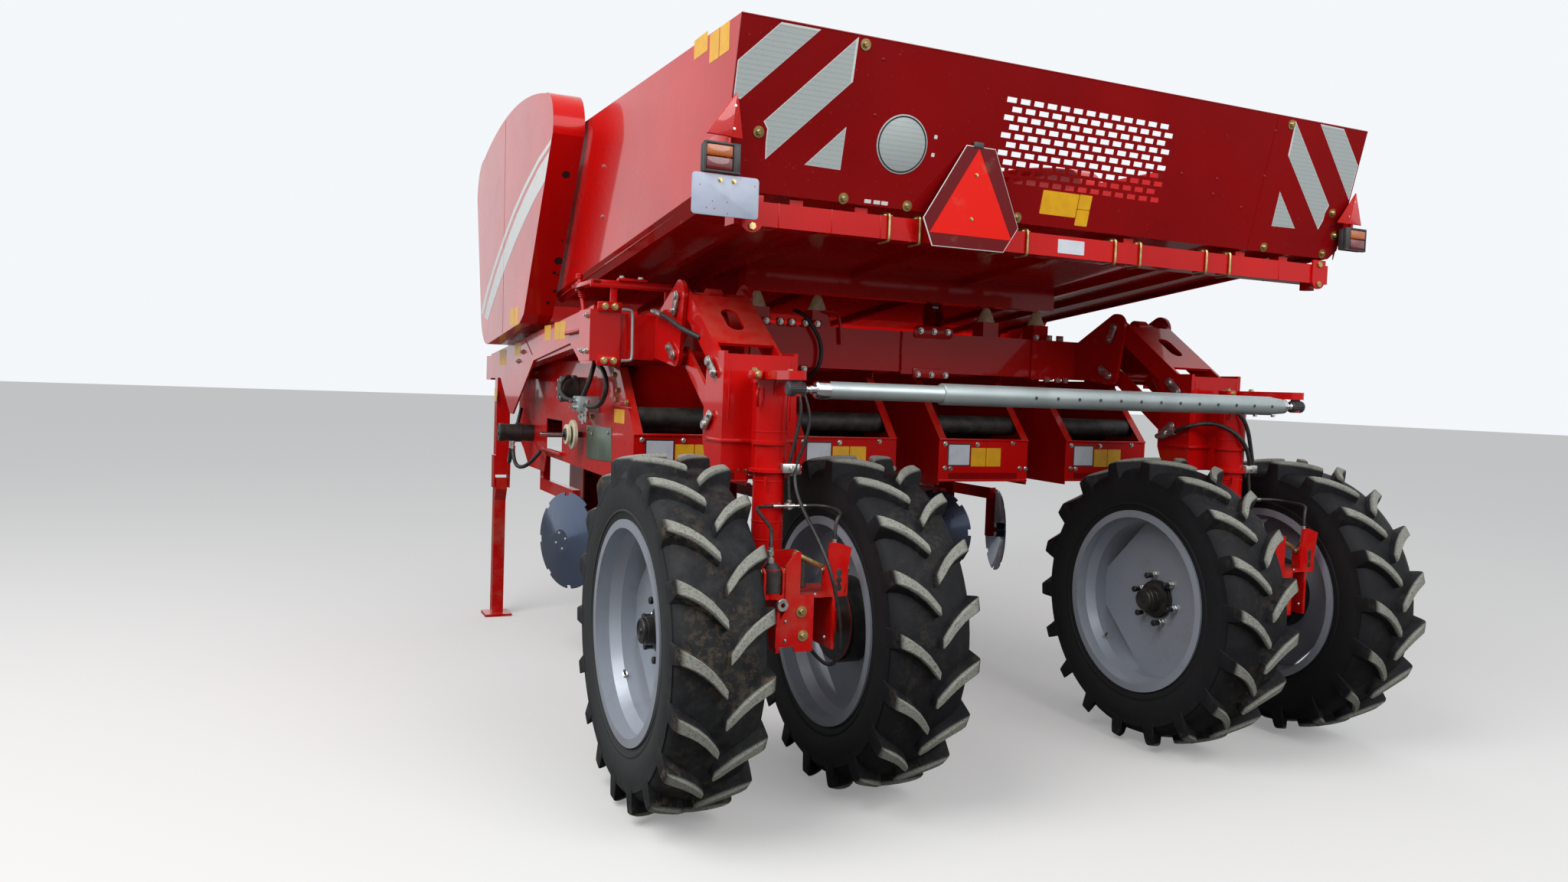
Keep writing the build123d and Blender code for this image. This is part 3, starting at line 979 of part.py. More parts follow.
with BuildPart() as rear_bar:
    bar_front = REAR_BAR_AHEAD + REAR_BAR_SIZE
    bar_bottom = REAR_BAR_TOP - REAR_BAR_SIZE
    block((-REAR_BAR_HALF, REAR_BAR_HALF), (REAR_BAR_AHEAD, bar_front), (bar_bottom, REAR_BAR_TOP))
    for hand in (-1, 1):
        with BuildSketch(REAR.offset(-REAR_BAR_AHEAD)) as tab:
            with Locations((hand * REAR_TAB_X, sum(REAR_TAB) / 2)):
                Rectangle(2 * REAR_TAB_HALF, REAR_TAB[1] - REAR_TAB[0])
            with Locations((hand * REAR_TAB_X, REAR_TAB[0])):
                Circle(REAR_TAB_HALF)
        extrude(tab.sketch, amount=REAR_TAB_PLATE)
    for x in HOPPER_RIBS:
        block((x - 25, x + 25), (bar_front - 50, bar_front), (REAR_BAR_TOP, REAR_BAR_SADDLE))
save(rear_bar, "rear_bar")

with BuildPart() as lamps_and_signs:
    for hand in (-1, 1):
        stay = HOPPER_HALF + SEAT
        block((hand * (LAMP_X - LAMP_HALF), hand * (LAMP_X + LAMP_HALF)),
              (LAMP_REAR, LAMP_REAR + LAMP_DEPTH), (LAMP_BOTTOM, LAMP_TOP))
        block((hand * stay, hand * (stay + LAMP_STAY)), (LAMP_REAR + SHEET, LAMP_STAY_FRONT),
              (LAMP_STAY_BOTTOM, LAMP_STAY_TOP))
        upright([(hand * x, z) for x, z in REFLECTOR], LAMP_REAR, LAMP_REAR + REFLECTOR_THICK)
    block(PLATE_X, (PLATE_REAR, PLATE_REAR + PLATE_THICK), PLATE_Z)
    block((-stay - LAMP_STAY, -stay), (PLATE_REAR + PLATE_THICK, LAMP_STAY_FRONT),
          (PLATE_Z[1] - 40, LAMP_STAY_BOTTOM))
    upright([(SIGN_X + x, z) for x, z in SIGN_OUTLINE], SIGN_REAR, SIGN_REAR + SIGN_THICK)
    for x in SIGN_POSTS:
        bar_y(SIGN_REAR + SIGN_THICK, REAR_BAR_AHEAD - SEAT, (SIGN_X + x, SIGN_POST_HEIGHT),
              SIGN_POST_RADIUS)
save(lamps_and_signs, "lamps_and_signs")

# Fixed hopper in front, above the planting units' feed ends
with BuildPart() as front_hopper:
    wall = FRONT_HOPPER_HALF - HOPPER_WALL
    rear, front = FRONT_HOPPER_REAR, FRONT_HOPPER_FRONT
    outline = ((rear, FRONT_HOPPER_BOTTOM), (rear, FRONT_HOPPER_SILL), (rear + FRONT_HOPPER_LEAN, FRONT_HOPPER_TOP),
               (front, FRONT_HOPPER_TOP), (front, FRONT_HOPPER_BOTTOM))
    for hand in (-1, 1):
        plate(outline, hand * wall, hand * FRONT_HOPPER_HALF)
    block((-wall, wall), (rear, rear + HOPPER_WALL), (FRONT_HOPPER_BOTTOM, FRONT_HOPPER_SILL))
    block((-wall, wall), (front - HOPPER_WALL, front), (FRONT_HOPPER_BOTTOM, FRONT_HOPPER_TOP))
    block((-wall, wall), (front - FRONT_HOPPER_RIM, front),
          (FRONT_HOPPER_TOP - HOPPER_WALL, FRONT_HOPPER_TOP))
    block((-wall, wall), (rear, front), (FRONT_HOPPER_BOTTOM, FRONT_HOPPER_BOTTOM + HOPPER_WALL))
save(front_hopper, "front_hopper")

# Side shields: straight edges with rounded corners and a crowned top, as (ahead, height)
for side, hand in SIDES:
    with BuildPart() as shield:
        with BuildSketch(SIDE.offset(min(hand * SHIELD_INNER, hand * SHIELD_OUTER))) as outline:
            with BuildLine():
                Line((2030, 1800), (1485, 2600))
                ThreePointArc((1485, 2600), (1510, 2745), (1640, 2815))
                ThreePointArc((1640, 2815), (2560, 2903), (3300, 2790))
                ThreePointArc((3300, 2790), (3465, 2715), (3512, 2570))
                Line((3512, 2570), (3290, 1860))
                ThreePointArc((3290, 1860), (3205, 1720), (3050, 1670))
                Line((3050, 1670), (2130, 1757))
                Line((2130, 1757), (2030, 1800))
            make_face()
        extrude(outline.sketch, amount=SHIELD_OUTER - SHIELD_INNER)
        with BuildSketch() as hollow:
            add(outline.sketch_local)
            offset(amount=-SHIELD_WALL)
        depth = SHIELD_OUTER - SHIELD_WALL - SHIELD_INNER + 1
        cavity = SIDE.offset(min(hand * (SHIELD_INNER - 1), hand * (SHIELD_OUTER - SHIELD_WALL)))
        extrude(cavity * hollow.sketch, amount=depth, mode=Mode.SUBTRACT)
        block((hand * (FRONT_HOPPER_HALF + SEAT), hand * SHIELD_OUTER), *SHIELD_STAY)
    save(shield, f"side_shield_{side}")

# Hopper rams: barrel on the units, rod at the bracket under the hopper's floor
for side, hand in SIDES:
    x = hand * TIP_RAM_X
    ram = (x, TIP_RAM_FOOT, TIP_RAM_HEAD)
    with BuildPart() as tip_barrel:
        bar_x(x - TIP_EYE_HALF, x + TIP_EYE_HALF, TIP_RAM_FOOT, TIP_FOOT_RADIUS)
        bar_between(*ram, 30, TIP_BARREL_LENGTH, TIP_BARREL_RADIUS)
        bar_between(*ram, 60, TIP_BARREL_LENGTH + 1, TIP_ROD_RADIUS + PIN_PLAY, mode=Mode.SUBTRACT)
        bar_x(x - 60, x + 60, TIP_RAM_FOOT, TIP_FOOT_PIN + PIN_PLAY, mode=Mode.SUBTRACT)
    save(tip_barrel, f"tip_barrel_{side}")
    with BuildPart() as tip_rod:
        length = hypot(TIP_RAM_HEAD[0] - TIP_RAM_FOOT[0], TIP_RAM_HEAD[1] - TIP_RAM_FOOT[1])
        bar_x(x - TIP_EYE_HALF, x + TIP_EYE_HALF, TIP_RAM_HEAD, TIP_RAM_PIN + TIP_EYE_SLACK + 12)
        bar_between(*ram, TIP_ROD_START, length - 20, TIP_ROD_RADIUS)
        bar_x(x - 60, x + 60, TIP_RAM_HEAD, TIP_RAM_PIN + TIP_EYE_SLACK, mode=Mode.SUBTRACT)
    save(tip_rod, f"tip_rod_{side}")

# Hydraulic motors and the double pulley on the left unit's outer plate
with BuildPart() as drive_motors:
    outer = ROWS[0] - UNIT_HALF - SEAT
    drives = ((UPPER_MOTOR, UPPER_MOTOR_SIZE), (FRONT_MOTOR, FRONT_MOTOR_SIZE), (PULLEY, PULLEY_SHAFT))
    for point, (radius, length) in drives:
        bar_x(outer - length, outer, point, radius)
    for radius, start, end in PULLEY_STEPS:
        bar_x(outer - end, outer - start, PULLEY, radius)
save(drive_motors, "drive_motors")
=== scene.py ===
"""Looks of the four-row belt planter: paint, rubber and plating on the CAD frame, with the small
parts that only show up close. Metres, in the CAD's own frame: +X right, +Y ahead, +Z up. Shapes are
drawn from the ground below the rear axle, as (across, ahead, up).
"""
import json
import math

import bmesh
import bpy
from mathutils import Matrix, Vector


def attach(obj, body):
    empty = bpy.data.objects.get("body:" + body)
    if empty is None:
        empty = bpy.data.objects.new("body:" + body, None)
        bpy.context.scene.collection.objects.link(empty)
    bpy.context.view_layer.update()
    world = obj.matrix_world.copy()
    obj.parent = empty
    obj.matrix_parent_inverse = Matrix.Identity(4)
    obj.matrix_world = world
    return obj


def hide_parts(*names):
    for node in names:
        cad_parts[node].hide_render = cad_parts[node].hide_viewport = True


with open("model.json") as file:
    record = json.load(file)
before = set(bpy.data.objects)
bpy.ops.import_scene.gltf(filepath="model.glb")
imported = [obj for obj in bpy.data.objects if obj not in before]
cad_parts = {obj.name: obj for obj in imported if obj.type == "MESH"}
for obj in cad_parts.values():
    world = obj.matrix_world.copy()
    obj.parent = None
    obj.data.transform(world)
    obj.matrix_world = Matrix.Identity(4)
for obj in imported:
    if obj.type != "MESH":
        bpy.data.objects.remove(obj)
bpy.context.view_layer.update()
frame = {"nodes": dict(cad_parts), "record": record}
nodes = frame["nodes"]

# The rear axle's line, from which the machine is measured forwards
AXLE_Y = -1.711
AXLE_HEIGHT = 0.618
KINGPIN_X = 1.125
SIDES = (("left", -1), ("right", 1))
ROWS = (-1.125, -0.375, 0.375, 1.125)

RIGHT, AHEAD, UP = Vector((1, 0, 0)), Vector((0, 1, 0)), Vector((0, 0, 1))
BACK, DOWN = -AHEAD, -UP


# Shader values and finishes

class Value:
    """A socket that takes part in Python arithmetic; every step adds its Math node."""

    def __init__(self, shading, socket):
        self.shading = shading
        self.socket = socket

    def math(self, operation, *others, clamp=False):
        inputs = dict(enumerate((self, *others)))
        return self.shading.add("ShaderNodeMath", {"operation": operation, "use_clamp": clamp}, inputs)

    def __add__(self, other):
        return self.math("ADD", other)

    def __sub__(self, other):
        return self.math("SUBTRACT", other)

    def __mul__(self, other):
        return self.math("MULTIPLY", other)

    def __pow__(self, other):
        return self.math("POWER", other)

    def __rsub__(self, other):
        return self.shading.add("ShaderNodeMath", {"operation": "SUBTRACT"}, {0: other, 1: self})

    __radd__ = __add__
    __rmul__ = __mul__

    def above(self, edge, softness):
        """0 below the edge and 1 above it, over a soft step."""
        return self.shading.add(
            "ShaderNodeMapRange", {"interpolation_type": "SMOOTHSTEP"},
            {"Value": self, "From Min": edge - softness, "From Max": edge + softness})

    def clamped(self):
        return self.math("ADD", 0.0, clamp=True)


class Shading:
    """The nodes of a material or of the world."""

    def __init__(self, owner):
        owner.use_nodes = True
        self.tree = owner.node_tree
        self.tree.nodes.clear()

    def add(self, kind, settings, inputs, output=0):
        """A node with its settings, then the values or links of its sockets; gives one output."""
        node = self.tree.nodes.new(kind)
        for name, value in settings.items():
            setattr(node, name, value)
        for key, value in inputs.items():
            self.join(node.inputs[key], value)
        return Value(self, node.outputs[output])

    def join(self, socket, value):
        if isinstance(value, Value):
            self.tree.links.new(value.socket, socket)
        else:
            socket.default_value = value

    def show(self, kind, surface):
        """Leads the surface to an output node of that kind."""
        self.join(self.tree.nodes.new(kind).inputs["Surface"], surface)

    def blend(self, factor, low, high):
        """Colour low where the factor is 0 and high where it is 1."""
        return self.add("ShaderNodeMix", {"data_type": "RGBA"}, {0: factor, 6: low, 7: high}, 2)


class Finish(Shading):
    """A procedural material, with a Principled shader to plug into."""

    def __init__(self, name, **sockets):
        self.material = bpy.data.materials.new(name)
        super().__init__(self.material)
        self.shader = self.tree.nodes.new("ShaderNodeBsdfPrincipled")
        self.show("ShaderNodeOutputMaterial", Value(self, self.shader.outputs[0]))
        self.coordinates = self.add("ShaderNodeTexCoord", {}, {}, "Object")
        self.plug(**sockets)

    def plug(self, **sockets):
        """Values or links for the shader's sockets, with _ for the blanks in their names."""
        for name, value in sockets.items():
            self.join(self.shader.inputs[name.replace("_", " ")], value)

    def noise(self, scale, detail=3.0, roughness=0.5):
        return self.add("ShaderNodeTexNoise", {}, {
            "Vector": self.coordinates, "Scale": scale, "Detail": detail, "Roughness": roughness}, "Fac")

    def place(self, axis):
        """Where a point lies along X, Y or Z."""
        return self.add("ShaderNodeSeparateXYZ", {}, {0: self.coordinates}, axis)

    def facing_up(self):
        """1 on faces that look up, 0 on walls, below 0 underneath."""
        normal = self.add("ShaderNodeNewGeometry", {}, {}, "Normal")
        return self.add("ShaderNodeSeparateXYZ", {}, {0: normal}, "Z")

    def bumps(self, height, distance, strength):
        return self.add("ShaderNodeBump", {}, {
            "Height": height, "Distance": distance, "Strength": strength}, "Normal")


def rgb(red, green, blue):
    """Linear colour from the 0 to 255 numbers of a screen colour."""
    def linear(channel):
        share = channel / 255
        return share / 12.92 if share <= 0.04045 else ((share + 0.055) / 1.055) ** 2.4
    return (linear(red), linear(green), linear(blue), 1.0)


DUST = rgb(150, 132, 110)


def painted(name, colour, deep, gloss=0.28):
    """Stoved machine paint: a glossy coat with orange peel, faint blotches and dust that settles."""
    finish = Finish(name)
    blotches = finish.noise(1.7, 4.0)
    specks = finish.noise(90.0, 2.0, 0.7)
    settled = finish.facing_up().above(0.6, 0.35) * finish.noise(9.0, 6.0, 0.65).above(0.5, 0.2)
    low_down = (1.0 - finish.place("Z").above(0.7, 0.5)) * finish.noise(6.0, 7.0, 0.7).above(0.54, 0.14)
    dust = (settled * 0.22 + low_down * 0.4 + specks.above(0.72, 0.03) * 0.2).clamped()
    body = finish.blend(blotches.above(0.5, 0.3), colour, deep)
    finish.plug(
        Base_Color=finish.blend(dust, body, DUST),
        Roughness=(dust * 0.45 + finish.noise(5.0, 5.0) * 0.14 + gloss - 0.07).clamped(),
        Normal=finish.bumps(finish.noise(260.0, 1.0), 0.00012, 0.35),
        Specular_IOR_Level=0.12,
        Coat_Weight=0.85,
        Coat_IOR=1.24,
        Coat_Roughness=0.05,
    )
    return finish.material


def mottled(name, colour, other, roughness, metallic=0.0, grain=18.0, spread=0.5):
    """Two shades of one colour in soft patches, with an uneven gloss."""
    finish = Finish(name)
    finish.plug(
        Base_Color=finish.blend(finish.noise(grain, 5.0).above(spread, 0.2), colour, other),
        Metallic=metallic,
        Roughness=finish.noise(grain * 1.7, 4.0) * 0.2 + (roughness - 0.1),
        Normal=finish.bumps(finish.noise(grain * 12, 2.0), 0.0002, 0.3),
    )
    return finish.material


def worn_rubber():
    """Tyre rubber: dust on the worn lug tops, soil between the lugs, bare dark side walls."""
    lug_tops, tread_floor, side_wall = 0.6, 0.566, 0.5
    finish = Finish("tyre_rubber")
    ahead = finish.place("Y") - AXLE_Y
    up = finish.place("Z") - AXLE_HEIGHT
    radius = (ahead * ahead + up * up) ** 0.5
    # 1 on the left outer tyre, 0.3 on the others. The extra dust film and soil on the left tyre are partly
    # real mud and partly painted light. The tyres further right stay darker as painted shade.
    left_mud_and_light = 1.0 - finish.place("X").above(-1.15, 0.15) * 0.7
    fine = finish.noise(160.0, 5.0, 0.7)
    clods = finish.noise(34.0, 6.0, 0.72)
    patches = finish.noise(3.2, 4.0, 0.6)
    top = radius.above(lug_tops, 0.006)
    band = radius.above(tread_floor, 0.02) * (1.0 - top)
    soil = band * clods.above(0.53, 0.08) * patches.above(0.52, 0.1) * left_mud_and_light
    tread = radius.above(side_wall, 0.09)
    dried = finish.noise(12.0, 6.0, 0.7).above(0.5, 0.2) * tread * left_mud_and_light
    # The film's lighter side wall on the left tyre is partly painted light.
    film = (dried * 0.45 + (1.0 - tread) * left_mud_and_light * 0.7).clamped()
    rubber = finish.blend(film, rgb(14, 14, 18), rgb(60, 62, 62))
    dusty = finish.blend((top * fine.above(0.38, 0.16) * 0.9).clamped(), rubber, rgb(146, 147, 138))
    finish.plug(
        Base_Color=finish.blend(soil.clamped(), dusty, rgb(92, 80, 66)),
        Roughness=(soil * 0.2 + top * 0.2 + 0.66).clamped(),
        Normal=finish.bumps(clods * soil * 2.0 + fine * 0.5, 0.004, 0.5),
        Specular_IOR_Level=0.22,
    )
    return finish.material


def rim_paint():
    """Silver rim paint with a little soil washed down it."""
    finish = Finish("rim_silver_paint")
    stain = finish.noise(7.0, 7.0, 0.7).above(0.6, 0.1) * 0.35
    finish.plug(
        Base_Color=finish.blend(stain, rgb(158, 164, 174), rgb(130, 128, 124)),
        Metallic=0.25,
        Roughness=finish.noise(20.0, 4.0) * 0.18 + 0.3,
    )
    return finish.material


def disc_steel():
    """Disc steel under lacquer, dulled by patches of soil; its blue tint is painted reflection of the sky."""
    finish = Finish("disc_steel")
    soil = finish.noise(9.0, 7.0, 0.7).above(0.6, 0.1) * 0.3
    finish.plug(
        # Both colours are tinted blue as painted reflection of the sky.
        Base_Color=finish.blend(soil, rgb(84, 97, 122), rgb(98, 90, 80)),
        Metallic=0.62,
        Roughness=(finish.noise(6.0, 6.0) * 0.25 + soil * 0.5 + 0.12).clamped(),
        Coat_Weight=0.4,
    )
    return finish.material


def sheeting(name, colour, cell):
    """Reflective sheeting: fine cells under a clear film."""
    finish = Finish(name, Coat_Weight=0.08, Coat_Roughness=0.1, Specular_IOR_Level=0.12)
    cells = finish.add("ShaderNodeTexVoronoi", {"feature": "DISTANCE_TO_EDGE"}, {
        "Vector": finish.coordinates, "Scale": 260.0, "Randomness": 0.15}, "Distance").above(0.09, 0.05)
    grime = finish.noise(8.0, 6.0, 0.7).above(0.64, 0.08) * 0.2
    finish.plug(
        Base_Color=finish.blend(grime, finish.blend(cells, cell, colour), DUST),
        Roughness=finish.noise(14.0, 4.0) * 0.2 + 0.3,
    )
    return finish.material


def lens(name, colour, deep):
    """Moulded lamp lens with fine ribbing that catches the light: bumps, and painted glints along it in the
    colour.
    """
    finish = Finish(name, Coat_Weight=0.8, Coat_Roughness=0.04)
    ribs_and_glints = finish.add("ShaderNodeTexWave", {"bands_direction": "X"}, {
        "Vector": finish.coordinates, "Scale": 90.0}, "Fac")
    finish.plug(
        # Light and deep bands along the ribbing: painted glints.
        Base_Color=finish.blend(ribs_and_glints, colour, deep),
        Roughness=finish.noise(20.0, 3.0) * 0.1 + 0.16,
        Normal=finish.bumps(ribs_and_glints, 0.0008, 0.6),
    )
    return finish.material


red_paint = painted("red_machine_paint", rgb(206, 14, 12), rgb(182, 9, 9))
dark_red_paint = painted("dark_red_machine_paint", rgb(146, 8, 12), rgb(128, 6, 10))
tyre_rubber = worn_rubber()
rim_silver = rim_paint()
sky_tinted_steel = disc_steel()
black_paint = mottled("black_machine_paint", rgb(20, 20, 22), rgb(50, 46, 42), 0.38, grain=14.0)
galvanised = mottled("galvanised_tube", rgb(172, 182, 182), rgb(158, 168, 168), 0.4, 0.55, grain=9.0)
bright_zinc = mottled("bright_zinc", rgb(212, 212, 208), rgb(168, 168, 162), 0.3, 0.9, grain=40.0)
gold_zinc = mottled("gold_zinc", rgb(204, 182, 126), rgb(168, 142, 92), 0.32, 0.85, grain=40.0)
chrome = mottled("chrome_rod", rgb(222, 222, 224), rgb(206, 206, 210), 0.16, 1.0, grain=60.0)
hose_rubber = mottled("hose_rubber", rgb(20, 20, 22), rgb(46, 44, 42), 0.5, grain=60.0)
belt_rubber = mottled("belt_rubber", rgb(24, 24, 25), rgb(58, 53, 47), 0.6, grain=22.0)
pulley_nylon = mottled("pulley_nylon", rgb(228, 218, 190), rgb(206, 196, 168), 0.45, grain=30.0)
cream_rubber = mottled("cream_rubber", rgb(222, 206, 168), rgb(190, 172, 134), 0.6, grain=30.0)
grey_green = mottled("grey_green_cover", rgb(104, 118, 104), rgb(84, 98, 88), 0.36, 0.3, grain=9.0)
plain_white = mottled(
    "white_plastic", rgb(208, 213, 222), rgb(192, 196, 204), 0.4, grain=20.0, spread=0.62)
# Number plate film: a darker, bluer copy of the white plastic, as painted shade on the plate.
shaded_plate_white = mottled(
    "number_plate_film", rgb(170, 179, 198), rgb(158, 167, 186), 0.4, grain=20.0, spread=0.62)
plain_yellow = mottled("yellow_film", rgb(238, 178, 20), rgb(226, 166, 22), 0.38, grain=24.0)
plain_black = mottled("black_film", rgb(22, 22, 23), rgb(34, 33, 32), 0.45, grain=30.0)
dark_plastic = mottled("lamp_housing_plastic", rgb(62, 62, 64), rgb(44, 44, 46), 0.5, grain=30.0)
pale_sheeting = sheeting("pale_sheeting", rgb(184, 192, 191), rgb(164, 172, 172))
white_sheeting = sheeting("white_sheeting", rgb(224, 226, 224), rgb(206, 208, 207))
bright_red_sheeting = sheeting("bright_red_sheeting", rgb(236, 22, 4), rgb(220, 16, 2))
dark_red_sheeting = sheeting("dark_red_sheeting", rgb(108, 6, 14), rgb(92, 4, 10))
amber_lens = lens("amber_lens", rgb(206, 104, 10), rgb(150, 66, 6))
red_lens = lens("red_lens", rgb(128, 14, 18), rgb(84, 5, 8))
backlit_reflector_red = lens("backlit_reflector_red", rgb(232, 22, 16), rgb(186, 10, 10))

FINISHES = {
    "red_paint": red_paint, "dark_red_paint": dark_red_paint, "tyre_rubber": tyre_rubber,
    "rim_silver": rim_silver, "black_paint": black_paint, "zinc_tube": galvanised,
    "chrome_rod": chrome, "black_rubber": belt_rubber, "lamp_plastic": dark_plastic,
}
for piece in frame["record"]["subparts"]:
    skin = nodes[piece["node"]].data
    skin.materials.clear()
    is_disc = piece["node"].startswith("covering_disc")
    skin.materials.append(sky_tinted_steel if is_disc else FINISHES[piece["material_slot"]])


# Shapes

class Part:
    """A piece in the making: it takes shapes, then becomes an object that rides on its body.

    Its shapes may be drawn around a middle of their own, which lies across from the machine's.
    """

    def __init__(self, name, finish, body, across=0.0, crease=32):
        self.name = name
        self.finish = finish
        self.body = body
        self.across = across
        self.crease = crease
        self.mesh = bpy.data.meshes.new(name)
        self.form = bmesh.new()

    def keep(self, shape):
        """Cleans a closed shape and adds it to the piece."""
        bmesh.ops.remove_doubles(shape, verts=shape.verts, dist=0.000001)
        bmesh.ops.recalc_face_normals(shape, faces=shape.faces)
        shape.to_mesh(self.mesh)
        shape.free()
        self.form.from_mesh(self.mesh)

    def lathe(self, place, axis, profile, sides):
        """Spins a profile of (along the axis, radius) points about the axis through the place."""
        shape = bmesh.new()
        place = Vector(place)
        axis = Vector(axis).normalized()
        aside = axis.orthogonal().normalized()
        points = [shape.verts.new(place + axis * along + aside * radius) for along, radius in profile]
        edges = [shape.edges.new(pair) for pair in zip(points, points[1:])]
        bmesh.ops.spin(shape, geom=points + edges, cent=place, axis=axis, angle=math.tau, steps=sides,
                       use_merge=True)
        self.keep(shape)

    def turned(self, place, axis, profile, sides):
        """Solid round piece, whose profile is closed onto the axis at both ends."""
        self.lathe(place, axis, ((profile[0][0], 0), *profile, (profile[-1][0], 0)), sides)

    def ring(self, place, axis, profile, sides):
        """Round piece with a hole, whose profile is closed onto its own start."""
        self.lathe(place, axis, (*profile, profile[0]), sides)

    def stepped(self, place, axis, steps, sides):
        """Solid round piece of plain steps, each given by where it ends and by its radius."""
        profile = []
        start = 0
        for end, radius in steps:
            profile += [(start, radius), (end, radius)]
            start = end
        self.turned(place, axis, profile, sides)

    def disc(self, place, axis, radius, thick, sides):
        self.stepped(place, axis, ((thick, radius),), sides)

    def rod(self, start, end, radius, sides=12, edge=0.0):
        """Round rod between two points, with its ends chamfered by the edge."""
        start, end = Vector(start), Vector(end)
        length = (end - start).length
        self.turned(start, end - start, (
            (0, radius - edge), (edge, radius), (length - edge, radius), (length, radius - edge)), sides)

    def bolt(self, place, axis, thread):
        """Hexagon head on a washer, named by its thread."""
        place, axis = Vector(place), Vector(axis).normalized()
        washer, across, top = thread * 0.2, thread * 0.92, thread * 0.7
        self.disc(place, axis, thread * 1.15, washer, 16)
        self.turned(place + axis * washer, axis, ((0, across), (top * 0.82, across), (top, across * 0.84)), 6)

    def stud(self, place, axis, thread):
        """Nut on a washer with the thread's end standing out of it."""
        self.bolt(place, axis, thread)
        tip = Vector(place) + Vector(axis).normalized() * thread * 1.5
        self.rod(place, tip, thread * 0.45, 10, thread * 0.08)

    def slab(self, outline, place, right, up, thick, edge=0.0):
        """Flat shape of (right, up) points around the place, thickened towards right x up."""
        shape = bmesh.new()
        place, right, up = Vector(place), Vector(right).normalized(), Vector(up).normalized()
        face = shape.faces.new([shape.verts.new(place + right * a + up * b) for a, b in outline])
        risen = bmesh.ops.extrude_face_region(shape, geom=[face])["geom"]
        front = [item for item in risen if isinstance(item, bmesh.types.BMVert)]
        bmesh.ops.translate(shape, verts=front, vec=right.cross(up) * thick)
        if edge:
            rim = [item for item in risen if isinstance(item, bmesh.types.BMEdge)]
            self.round_off(shape, rim, edge)
        self.keep(shape)

    def back_slab(self, outline, ahead, thick, edge=0.0):
        """Flat shape of (across, up) points that stands upright and thickens backwards."""
        self.slab(outline, (0, ahead, 0), RIGHT, UP, thick, edge)

    def side_slab(self, outline, across, hand, thick, edge=0.0):
        """Flat shape of (ahead, up) points that stands upright and thickens outwards on one side."""
        turned = [(hand * a, b) for a, b in outline]
        self.slab(turned, (across, 0, 0), AHEAD * hand, UP, thick, edge)

    def block(self, corner, other, edge=0.0):
        """Upright box between two opposite corners, with its edges rounded."""
        shape = bmesh.new()
        low = Vector([min(pair) for pair in zip(corner, other)])
        high = Vector([max(pair) for pair in zip(corner, other)])
        place = Matrix.Translation((low + high) / 2) @ Matrix.Diagonal((*(high - low), 1.0))
        bmesh.ops.create_cube(shape, size=1.0, matrix=place)
        if edge:
            self.round_off(shape, shape.edges[:], edge)
        self.keep(shape)

    def round_off(self, shape, edges, radius):
        bmesh.ops.bevel(shape, geom=edges, offset=radius, offset_type="OFFSET", segments=2,
                        profile=0.5, affect="EDGES", material=-1)

    def loft(self, sections):
        """Skin over closed sections of equally many points, with both ends capped."""
        shape = bmesh.new()
        rings = []
        for section in sections:
            points = [shape.verts.new(point) for point in section]
            rings.append([shape.edges.new(pair) for pair in zip(points, points[1:] + points[:1])])
        for near, far in zip(rings, rings[1:]):
            bmesh.ops.bridge_loops(shape, edges=near + far)
        for ring in (rings[0], rings[-1]):
            bmesh.ops.contextual_create(shape, geom=ring)
        self.keep(shape)

    def done(self, *replaced):
        """Makes the object, rides it on its body and hides the CAD nodes that it stands for."""
        bmesh.ops.translate(self.form, verts=self.form.verts, vec=(self.across, AXLE_Y, 0))
        self.form.to_mesh(self.mesh)
        self.form.free()
        self.mesh.shade_smooth()
        self.mesh.set_sharp_from_angle(angle=math.radians(self.crease))
        self.mesh.materials.append(self.finish)
        thing = bpy.data.objects.new(self.name, self.mesh)
        bpy.context.collection.objects.link(thing)
        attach(thing, self.body)
        if replaced:
            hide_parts(*replaced)


def done_all(*parts):
    for part in parts:
        part.done()


def bent(name, finish, body, radius, *runs, across=0.0):
    """Hoses, pipes or bent rods of one thickness, each along a smooth curve through its run."""
    curve = bpy.data.curves.new(name, "CURVE")
    curve.dimensions = "3D"
    curve.bevel_depth = radius
    curve.bevel_resolution = 3
    curve.resolution_u = 6
    curve.use_fill_caps = True
    for run in runs:
        spline = curve.splines.new("NURBS")
        spline.points.add(len(run) - 1)
        for point, (aside, ahead, up) in zip(spline.points, run):
            point.co = (across + aside, ahead + AXLE_Y, up, 1.0)
        spline.order_u = 3
        spline.use_endpoint_u = True
    curve.materials.append(finish)
    thing = bpy.data.objects.new(name, curve)
    bpy.context.collection.objects.link(thing)
    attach(thing, body)


def rounded(width, height, corner, across=0.0, up=0.0):
    """Outline of a rectangle around a point, with rounded corners."""
    steps = 4
    points = []
    for quarter, (side, rise) in enumerate(((1, 1), (-1, 1), (-1, -1), (1, -1))):
        for step in range(steps + 1):
            angle = math.radians(90 * (quarter + step / steps))
            points.append((side * (width / 2 - corner) + corner * math.cos(angle) + across,
                           rise * (height / 2 - corner) + corner * math.sin(angle) + up))
    return points


def rounded_between(near, far, low, high):
    """Outline of a label between its edges."""
    return rounded(far - near, high - low, 0.004, (near + far) / 2, (low + high) / 2)


def oval(start, end, radius):
    """Outline around two points with round ends."""
    steps = 6
    start, end = Vector(start), Vector(end)
    along = (end - start).normalized()
    aside = Vector((-along.y, along.x))
    points = []
    for middle, sense in ((end, 1), (start, -1)):
        for step in range(steps + 1):
            angle = math.pi * (step / steps - 0.5)
            spoke = along * math.cos(angle) + aside * math.sin(angle)
            points.append(tuple(middle + spoke * radius * sense))
    return points


